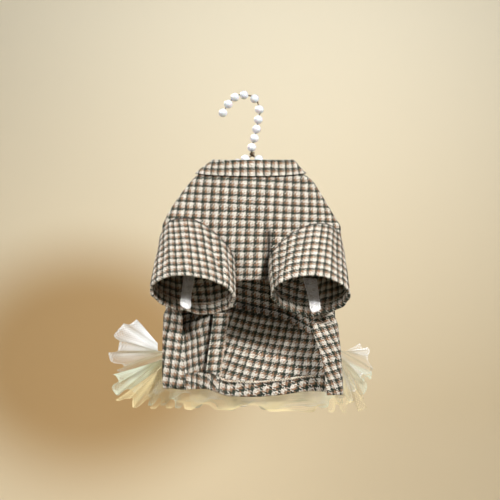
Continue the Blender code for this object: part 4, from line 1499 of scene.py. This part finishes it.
def lace_surface(sleeve):
    """surface(i, j): across the ribbon (i), and from its foot at the cuff up the sleeve (j)."""
    inside = sleeve_surface(sleeve)
    foot_turn, top_turn = LACE_RIM_TURNS[sleeve.name], LACE_TOP_TURNS[sleeve.name]
    length = (inside(foot_turn, 1) - inside(foot_turn, 0)).length

    def surface(i, j):
        spread = blend(-0.5, 0.5, i) * blend(LACE_SPREAD_TOP, LACE_SPREAD_FOOT, 1 - j)
        angle = blend(foot_turn, top_turn, j) + spread * degrees(LACE_WIDTH / sleeve.half_x)
        along = 1 - j * LACE_LENGTH / length
        point = inside(angle, along)
        side = inside(angle + 1, along) - inside(angle - 1, along)
        down = inside(angle, along) - inside(angle, along - 0.02)
        normal = side.cross(down).normalized()
        hollow = Vector((sleeve.cuff_x, sleeve.cuff_y, sleeve.cuff_z + sleeve.half_z)) - point
        inward = normal if normal.dot(hollow) > 0 else -normal
        curl = LACE_CUP * sin(pi * i) + LACE_CURL * sin(2 * pi * j)
        return point + inward * (LACE_INWARD + LACE_SWING * (1 - j) ** 0.7 + curl)

    return surface


class DRESS_OT_lace(bpy.types.Operator):
    """Lace ribbon that hangs in each sleeve"""

    bl_idname = "dress.lace"
    bl_label = "Lace ribbons"

    def execute(self, context):
        material = lace_thread()
        columns, rows = int(LACE_WIDTH / LACE_CELL), int(LACE_LENGTH / LACE_CELL)
        for sleeve in SLEEVES:
            points = lattice(lace_surface(sleeve), columns, rows)
            chart = np.zeros((rows + 1, columns + 1, 2))
            lace = mesh_of("lace_ribbon_" + sleeve.name, points, chart)
            shape = bmesh.new()
            shape.from_mesh(lace.data)
            holes = []
            for n, face in enumerate(shape.faces):
                j, i = divmod(n, columns)
                across = ((i + 0.5) / columns - 0.5) * LACE_WIDTH
                if not lace_thread_here(across, (j + 0.5) / rows * LACE_LENGTH):
                    holes.append(face)
            bmesh.ops.delete(shape, geom=holes, context="FACES")
            shape.to_mesh(lace.data)
            shape.free()
            walled(lace, LACE_WALL)
            finished(lace, material, "lace_white", "lace_" + sleeve.name)
        return {"FINISHED"}


# ---------------------------------------------------------------- net

def net_surface(layer, order):
    """surface(i, j): along the seam from the left end (i), out from the seam to the tips (j)."""
    flare = radians(layer.flare)

    def root(i):
        along = i - SIDE_GATHER * sin(2 * pi * i) / (2 * pi)
        turn = blend(layer.start_turn, layer.end_turn, along)
        rise = SIDE_RISE * ease(1 - i / SIDE_RISE_REACH) if layer.name == "ivory" else 0.0
        return moved_out(body, turn, layer.height + rise, LAP + layer.lap)

    def surface(i, j):
        way = radians(blend(layer.start_way, layer.end_way, i))
        outward = Vector((cos(way) * cos(flare), sin(flare), sin(way) * cos(flare)))
        facing = (root(i + 0.01) - root(i - 0.01)).cross(outward).normalized()
        phase = 2 * pi * layer.pleats * i + order
        from_middle = abs(2 * i - 1)
        on_left = i < 0.5
        end = layer.length_start if on_left else layer.length_end
        taper = LEFT_TAPER if on_left else RIGHT_TAPER
        length = blend(layer.length_middle, end, ease(from_middle ** taper))
        to_side = ease(from_middle * 2 - 0.2)
        tabs = cos(phase * blend(MIDDLE_TABS, SIDE_TABS, to_side) + order)
        tab_depth = blend(MIDDLE_TAB_DEPTH, SIDE_TAB_DEPTH, to_side)
        length *= 1 + TIP_VARIATION * tanh(TAB_SQUARENESS * tabs) * tab_depth
        wave = layer.wave * sin(phase) * j ** 1.3
        wave *= blend(MIDDLE_WAVE, 1.0, ease(from_middle * 2 - 0.4))
        wave += sum(c.height * sin(phase * c.waves + c.swing * j) * j for c in CRIMPS)
        return root(i) + outward * length * j + facing * wave

    return surface


def net_thickness(layer, columns, rows):
    """What the gathers add to the net's cover at each place of a layer, or take from it."""
    place = np.linspace(0, 1, columns + 1)[None]
    out = np.linspace(0, 1, rows + 1)[:, None]
    on_left = np.clip(1 - place / LEFT_COVER_REACH, 0, 1) ** 0.5
    cover = on_left * LEFT_COVER * (1 - out) ** 0.7
    cover = cover + (1 - on_left) * blend(ROOT_COVER, TIP_COVER, out)
    cover = cover + EDGE_COVER * (out > EDGE_FROM)
    return cover + PLEAT_COVER * np.sin(place * layer.pleats * PLEAT_COVER_WAVES)


class DRESS_OT_net(bpy.types.Operator):
    """Three gathered layers of net on the skirt's back"""

    bl_idname = "dress.net"
    bl_label = "Gathered net"

    def execute(self, context):
        settings = context.scene.dress_net
        for order, layer in enumerate(LAYERS):
            columns, rows = layer.pleats * NET_COLUMNS, NET_ROWS
            points = lattice(net_surface(layer, order), columns, rows)
            width = np.linalg.norm(np.diff(points[rows // 2], axis=0), axis=1).cumsum()
            across = np.repeat(np.concatenate([[0], width])[None], rows + 1, axis=0)
            chart = np.stack([across, lengths_down(points)], axis=-1)
            net = mesh_of("net_" + layer.name, points, chart)
            painted(net, "thick", net_thickness(layer, columns, rows))
            material = net_cloth("net_" + layer.name, getattr(settings, layer.name), settings.haze)
            finished(net, material, "tulle_" + layer.name, "tulle_" + layer.name)
        return {"FINISHED"}


# ---------------------------------------------------------------- stitches

def one_stitch(name, length, thickness):
    """A short loop of thread, bowed up at its middle, at the origin along X."""
    clear_selection()
    bpy.ops.mesh.primitive_uv_sphere_add(segments=6, ring_count=6, radius=0.5,
                                         rotation=(0, pi / 2, 0))
    stitch = bpy.context.object
    stitch.name = name
    apply_place(stitch)
    bpy.ops.object.mode_set(mode="EDIT")
    bpy.ops.mesh.select_all(action="SELECT")
    bpy.ops.transform.resize(value=(length * MM, thickness * MM, thickness * MM))
    bpy.ops.object.mode_set(mode="OBJECT")
    for vert in stitch.data.vertices:
        vert.co.z += thickness * MM * 0.5 * (1 - (2 * vert.co.x / (length * MM)) ** 2)
    stitch.data.shade_smooth()
    return stitch


def sewn_row(name, row, route, out, material):
    """Stitches along a route of points; `out` is the way off the cloth at each."""
    stitch = one_stitch(name + "_one", row.length, row.thickness)
    route, out = np.array(route), np.array(out)
    gone = np.concatenate([[0], np.linalg.norm(np.diff(route, axis=0), axis=1).cumsum()])

    def between(values, at):
        return Vector([np.interp(at, gone, values[:, k]) for k in range(3)])

    shape = bmesh.new()
    count = int(gone[-1] / row.pitch)
    for n in range(count):
        at = (n + 0.5) * gone[-1] / count
        spot, up = between(route, at), between(out, at).normalized()
        way = between(route, at + 0.5) - spot
        way = (way - up * way.dot(up)).normalized()
        turned = Matrix.Rotation(radians(row.slant * (1 if n % 2 else -1)), 3, up) @ way
        basis = Matrix((turned, up.cross(turned), up)).transposed().to_4x4()
        before = len(shape.verts)
        shape.from_mesh(stitch.data)
        shape.verts.ensure_lookup_table()
        centre = spot + Vector((DRESS_CENTRE, 0, 0)) + up * STITCH_LIFT
        bmesh.ops.transform(shape, matrix=Matrix.Translation(centre * MM) @ basis,
                            verts=shape.verts[before:])
    bpy.data.objects.remove(stitch, do_unlink=True)
    mesh = mesh_from(shape, name)
    mesh.shade_smooth()
    finished(placed(name, mesh), material, "wool_check")


def route_inside_skirt(places, lift):
    """Points on the skirt's inner face and the way off it, for (across, height) places."""
    route, out = [], []
    for across, height in places:
        near, far = inside_skirt(across, height, lift), inside_skirt(across, height, lift + 1)
        route.append(near[:])
        out.append((far - near)[:])
    return route, out


def along_hem(start, end, below_band):
    """Places along the hem band, at a distance below its upper edge."""
    return [(across, HEM(across) + HEM_BAND - below_band)
            for across in np.linspace(start, end, HEM_STITCH_POINTS)]


class DRESS_OT_stitches(bpy.types.Operator):
    """Overlocked edges and hem stitches"""

    bl_idname = "dress.stitches"
    bl_label = "Stitches"

    def execute(self, context):
        pale = sewing_thread("thread_pale", PALE_THREAD)
        dark = sewing_thread("thread_brown", DARK_THREAD)
        band_face = LAP + CLOTH / 2
        sewn_row("hem_overlock", HEM_OVERLOCK,
                 *route_inside_skirt(along_hem(-36, 68, 1.2), band_face + 0.4), pale)
        sewn_row("hem_stitching", HEM_STITCHING,
                 *route_inside_skirt(along_hem(-52, 66, 3.0), band_face + 0.4), dark)
        spots = [(blend(SEAM_ACROSS_TOP, SEAM_ACROSS_HEM, t) + 0.6,
                  blend(FACING_TOP, FACING_FOOT + 1, t)) for t in np.linspace(0, 1, 40)]
        sewn_row("facing_overlock", FACING_OVERLOCK,
                 *route_inside_skirt(spots, band_face + 0.5), pale)
        for sleeve in SLEEVES:
            columns, rows = CUFF_STITCH_GRID
            points, normals = sleeve_lattice(sleeve, columns, rows)
            from_rim = lengths_up(points)
            route, out = [], []
            for i in range(columns):
                k = int(np.argmin(np.abs(from_rim[:, i] - (CUFF_HEM - CUFF_OVERLOCK_IN))))
                route.append(points[k, i] - normals[k, i] * (LAP + WALL / 2 + 0.05))
                out.append(-normals[k, i])
            sewn_row("cuff_overlock_" + sleeve.name, CUFF_OVERLOCK, route + route[:1],
                     out + out[:1], pale)
        return {"FINISHED"}


# ---------------------------------------------------------------- hanger

def drilled_bead(name, size):
    """A glossy bead with a hole along its Z, at the origin."""
    clear_selection()
    bpy.ops.mesh.primitive_uv_sphere_add(segments=BEAD_SEGMENTS, ring_count=BEAD_RINGS,
                                         radius=size / 2 * MM)
    bead = bpy.context.object
    bead.name = name
    hole = BEAD_HOLE / 2 * MM
    bpy.ops.object.mode_set(mode="EDIT")
    bpy.ops.mesh.select_mode(type="VERT")
    bpy.ops.mesh.select_all(action="DESELECT")
    shape = bmesh.from_edit_mesh(bead.data)
    for vert in shape.verts:
        vert.select = vert.co.xy.length < hole * 0.9
    shape.select_flush(True)
    bmesh.update_edit_mesh(bead.data)
    bpy.ops.mesh.delete(type="VERT")
    select_edges(bead, lambda edge: edge.is_boundary)
    bpy.ops.mesh.select_mode(type="EDGE")
    shape = bmesh.from_edit_mesh(bead.data)
    for vert in {v for edge in shape.edges if edge.is_boundary for v in edge.verts}:
        vert.co.xy = vert.co.xy.normalized() * hole
    bmesh.update_edit_mesh(bead.data)
    bpy.ops.mesh.bridge_edge_loops()
    bpy.ops.mesh.select_all(action="SELECT")
    bpy.ops.mesh.normals_make_consistent(inside=False)
    bpy.ops.object.mode_set(mode="OBJECT")
    choose(bead)
    bpy.ops.object.shade_smooth_by_angle(angle=radians(40))
    return bead


def strung(bead, name, spot, way, material, node):
    """A copy of a bead with its own mesh, on the wire."""
    copy = placed(name, bead.data.copy())
    turned = Matrix.Rotation(radians(90) - way, 4, "Y")
    copy.data.transform(Matrix.Translation(Vector((spot.x, 0, spot.z)) * MM) @ turned)
    finished(copy, material, "pearl_white", node)


def heading(way):
    """Unit step along a way, an angle in the plane of the hanger."""
    return Vector((cos(way), 0, sin(way)))


def hook_way(n):
    """Way of the wire through the hook's bead n."""
    before = HOOK_BEADS[max(n - 1, 0)]
    after = HOOK_BEADS[n + 1] if n + 1 < len(HOOK_BEADS) else TWIST
    return atan2(after.z - before.z, after.x - before.x)


def arm_spots(arm):
    """Centres of an arm's beads and its way along."""
    way = radians(180 + arm.slope) if arm.side < 0 else radians(-arm.slope)
    step = heading(way)
    reach = [ARM_FIRST + n * ARM_PITCH for n in range(ARM_BEADS)]
    reach.append(reach[-1] + (BEAD + END_BEAD) / 2 + SEAM_GAP)
    return [PEAK + step * distance for distance in reach], way


class DRESS_OT_beads(bpy.types.Operator):
    """Beads of the hanger's hook and arms"""

    bl_idname = "dress.beads"
    bl_label = "Hanger beads"

    def execute(self, context):
        settings = context.scene.dress_hanger
        material = pearl(settings.pearl)
        large = drilled_bead("bead_large", settings.bead_size / MM)
        small = drilled_bead("bead_small", END_BEAD)
        for n, spot in enumerate(HOOK_BEADS):
            strung(large, "pearl_hook_%02d" % (n + 1), spot, hook_way(n), material,
                   "hook_bead_%02d" % (n + 1))
        for arm in ARMS:
            spots, way = arm_spots(arm)
            for n, spot in enumerate(spots):
                bead = small if n == ARM_BEADS else large
                strung(bead, "pearl_arm_%s_%d" % (arm.name, n + 1), spot, way, material,
                       "arm_bead_%s_%d" % (arm.name, n + 1))
        for bead in (large, small):
            bpy.data.objects.remove(bead, do_unlink=True)
        return {"FINISHED"}


def bent_wire(name, route, diameter, material, node, smooth=True):
    """A round wire along a route of points, made a closed mesh."""
    clear_selection()
    bpy.ops.curve.primitive_nurbs_path_add()
    wire = bpy.context.object
    wire.name = name
    curve = wire.data
    curve.splines.clear()
    spline = curve.splines.new("NURBS" if smooth else "POLY")
    spline.points.add(len(route) - 1)
    for point, place in zip(spline.points, route):
        point.co = (*(Vector(place) * MM), 1.0)
    if smooth:
        spline.use_endpoint_u = True
        spline.order_u = 3
        spline.resolution_u = 4
    curve.bevel_depth = diameter / 2 * MM
    curve.bevel_resolution = 3
    curve.use_fill_caps = True
    bpy.ops.object.convert(target="MESH")
    wire = bpy.context.object
    bpy.ops.object.mode_set(mode="EDIT")
    bpy.ops.mesh.select_all(action="SELECT")
    bpy.ops.mesh.remove_doubles(threshold=0.00001)
    bpy.ops.mesh.normals_make_consistent(inside=False)
    bpy.ops.object.mode_set(mode="OBJECT")
    wire.data.shade_smooth()
    apply_place(wire)
    finished(wire, material, "wire_bronze", node)


class DRESS_OT_wires(bpy.types.Operator):
    """Wires of the hanger and the twist at the hook's foot"""

    bl_idname = "dress.wires"
    bl_label = "Hanger wires"

    def execute(self, context):
        material = aged_wire(context.scene.dress_hanger.wire)
        route = []
        for n, spot in enumerate(HOOK_BEADS):
            step = heading(hook_way(n)) * (BEAD / 2 - WIRE_IN_BEAD)
            centre = Vector((spot.x, 0, spot.z))
            route += [centre - step, centre + step]
        route.append(Vector((TWIST.x, 0, TWIST.z + HOOK_WIRE_FOOT)))
        bent_wire("wire_hook", route, WIRE, material, "hook_wire", smooth=False)

        ends, bends = [], []
        for arm in ARMS:
            spots, way = arm_spots(arm)
            ends.append(spots[-1] + heading(way) * (END_BEAD / 2 + ARM_WIRE_END))
            bends.append(PEAK + heading(way) * ARM_WIRE_BEND)
        route = [ends[0], bends[0], PEAK, bends[1], ends[1]]
        bent_wire("wire_arms", route, WIRE, material, "arm_wire", smooth=False)

        steps = TWIST_STEPS * TWIST_TURNS
        route = []
        for step in range(steps + 1):
            angle = 2 * pi * TWIST_TURNS * step / steps
            height = TWIST.z + blend(TWIST_FOOT, TWIST_TOP, step / steps)
            route.append((TWIST.x - TWIST_LEFT + TWIST_RADIUS * cos(angle),
                          TWIST_RADIUS * sin(angle), height))
        bent_wire("wire_twist", route, TWIST_WIRE, material, "neck_twist")
        return {"FINISHED"}


# ---------------------------------------------------------------- stage

Lamp = namedtuple("Lamp", "name place target size spread")
LAMPS = [
    Lamp("key", (1.25, -1.32, 0.96), (0.01, 0.0, -0.19), 0.4, 42.0),
    Lamp("fill", (-1.3, -0.9, 0.55), (-0.04, 0.0, -0.25), 0.4, 36.0),
    Lamp("wall", (0.17, 0.20, 0.46), (0.0, 1.6, -0.22), 0.5, 150.0),
    Lamp("low", (0.14, -1.45, -0.06), (0.025, 0.0, -0.28), 0.1, 13.0),
    Lamp("back", (-0.95, 1.05, 0.60), (0.0, 0.0, -0.22), 0.5, 60.0),
]
LAMP_TINT = (1.0, 0.99, 0.97)
PICTURE_CENTRE = Vector((6.3, 0, -161.1)) * MM
SENSOR_WIDTH = 36.0          # of the camera, in millimetres
FLOOR_SIZE = 6.0
FLOOR_PLACE = (0, -1.4, -0.75)
WALL_LINE = 2.9              # edges of the floor beyond this are the wall's foot
WALL_HEIGHT = 4.0
WALL_FOOT_ROUND = 0.25
LOW_WALL = (0.35, -0.65)     # heights between which the wall turns darker and warmer, as painted shade
FOOT_SHADE_TINT = (0.93, 0.85, 0.74)
# painted shadow on the wall: its middle and reach
SHADE_CENTRE = (-0.35, 1.6, -0.41)
SHADE_REACH = (0.43, 5.0, 0.34)


def soft_light(lamp, power):
    clear_selection()
    bpy.ops.object.light_add(type="AREA", location=lamp.place)
    light = bpy.context.object
    light.name = lamp.name + "_light"
    light.data.shape = "DISK"
    light.data.size = lamp.size
    light.data.energy = power
    light.data.color = LAMP_TINT
    light.data.spread = radians(lamp.spread)
    aim = Vector(lamp.target) - Vector(lamp.place)
    light.rotation_euler = aim.to_track_quat("-Z", "Y").to_euler()


def backdrop_paint(settings):
    """Warm cream wall with painted shade, darker and warmer toward its foot, and a painted soft
    shadow low on the left.
    """
    graph = Graph("backdrop")
    place = graph.place()
    # painted shade: darker and warmer toward the wall's foot
    low = graph.ranged(graph.parts(place)[2], *LOW_WALL)
    base = graph.mix(low, colour(settings.backdrop),
                     colour([c * f for c, f in zip(settings.backdrop, FOOT_SHADE_TINT)]))
    # painted shadow of the dress: a soft patch low on the left, mixed towards the shade colour
    node = graph.nodes.new("ShaderNodeTexGradient")
    node.gradient_type = "SPHERICAL"
    centred = graph.nodes.new("ShaderNodeMapping")
    graph.links.new(place, centred.inputs["Vector"])
    centred.vector_type = "TEXTURE"
    centred.inputs["Location"].default_value = SHADE_CENTRE
    centred.inputs["Scale"].default_value = SHADE_REACH
    graph.links.new(centred.outputs[0], node.inputs[0])
    share = graph.ranged(node.outputs[1], 0.0, 0.6)
    share.node.interpolation_type = "SMOOTHSTEP"
    tone = graph.mix(share, base, colour(settings.shade))
    grain = graph.noise(place, 300.0, 2.0, 0.5)
    graph.relief(grain, 0.0002, 0.3)
    return graph.finish(Base_Color=tone, Roughness=0.9, Specular_IOR_Level=0.2)


class DRESS_OT_stage(bpy.types.Operator):
    """Backdrop, soft lights and the camera at the photograph's angle"""

    bl_idname = "dress.stage"
    bl_label = "Stage"

    def execute(self, context):
        settings = context.scene.dress_stage
        clear_selection()
        bpy.ops.object.camera_add(location=PICTURE_CENTRE - Vector((0, settings.distance, 0)),
                                  rotation=(radians(90), 0, 0))
        camera = bpy.context.object
        camera.name = "camera"
        camera.data.sensor_width = SENSOR_WIDTH
        camera.data.lens = SENSOR_WIDTH * settings.distance / settings.width
        context.scene.camera = camera

        clear_selection()
        bpy.ops.mesh.primitive_plane_add(size=FLOOR_SIZE, location=FLOOR_PLACE)
        backdrop = bpy.context.object
        backdrop.name = "backdrop"
        bpy.ops.object.mode_set(mode="EDIT")
        bpy.ops.mesh.select_mode(type="EDGE")
        bpy.ops.mesh.select_all(action="DESELECT")
        select_edges(backdrop, lambda edge: all(vert.co.y > WALL_LINE for vert in edge.verts))
        bpy.ops.mesh.extrude_edges_move(TRANSFORM_OT_translate={"value": (0, 0, WALL_HEIGHT)})
        select_edges(backdrop, lambda edge: all(
            vert.co.y > WALL_LINE and abs(vert.co.z) < 0.01 for vert in edge.verts))
        bpy.ops.mesh.bevel(offset=WALL_FOOT_ROUND, segments=10)
        bpy.ops.object.mode_set(mode="OBJECT")
        backdrop.data.shade_smooth()
        apply_place(backdrop)
        backdrop.data.materials.append(backdrop_paint(settings))

        for lamp in LAMPS:
            soft_light(lamp, getattr(settings, lamp.name + "_power"))
        world = bpy.data.worlds.new("studio")
        world.use_nodes = True
        air = world.node_tree.nodes["Background"]
        air.inputs["Color"].default_value = AIR
        air.inputs["Strength"].default_value = AIR_STRENGTH
        context.scene.world = world
        context.scene.view_settings.view_transform = "Standard"
        return {"FINISHED"}


# ---------------------------------------------------------------- panel and run

GROUPS = [
    (ClothSettings, "dress_cloth"), (NetSettings, "dress_net"),
    (HangerSettings, "dress_hanger"), (StageSettings, "dress_stage"),
]
OPERATORS = [
    DRESS_OT_stage, DRESS_OT_chest, DRESS_OT_back, DRESS_OT_skirt, DRESS_OT_facing,
    DRESS_OT_collar, DRESS_OT_sleeves, DRESS_OT_lace, DRESS_OT_net, DRESS_OT_stitches,
    DRESS_OT_beads, DRESS_OT_wires,
]


class DRESS_PT_panel(bpy.types.Panel):
    """Lists the pieces of the dress and their settings"""

    bl_idname = "DRESS_PT_panel"
    bl_label = "Dress"
    bl_space_type = "VIEW_3D"
    bl_region_type = "UI"
    bl_category = "Dress"

    def draw(self, context):
        for operator in OPERATORS:
            self.layout.operator(operator.bl_idname)
        for group, name in GROUPS:
            box = self.layout.box()
            box.label(text=group.__doc__)
            settings = getattr(context.scene, name)
            for field in group.__annotations__:
                box.prop(settings, field)


def register():
    for group, name in GROUPS:
        bpy.utils.register_class(group)
        setattr(bpy.types.Scene, name, PointerProperty(type=group))
    for item in OPERATORS + [DRESS_PT_panel]:
        bpy.utils.register_class(item)


def unregister():
    for item in reversed(OPERATORS + [DRESS_PT_panel]):
        bpy.utils.unregister_class(item)
    for group, name in reversed(GROUPS):
        delattr(bpy.types.Scene, name)
        bpy.utils.unregister_class(group)


def main():
    register()
    for operator in OPERATORS:
        group, name = operator.bl_idname.split(".")
        getattr(getattr(bpy.ops, group), name)()
    clear_selection()


if __name__ == "__main__":
    main()
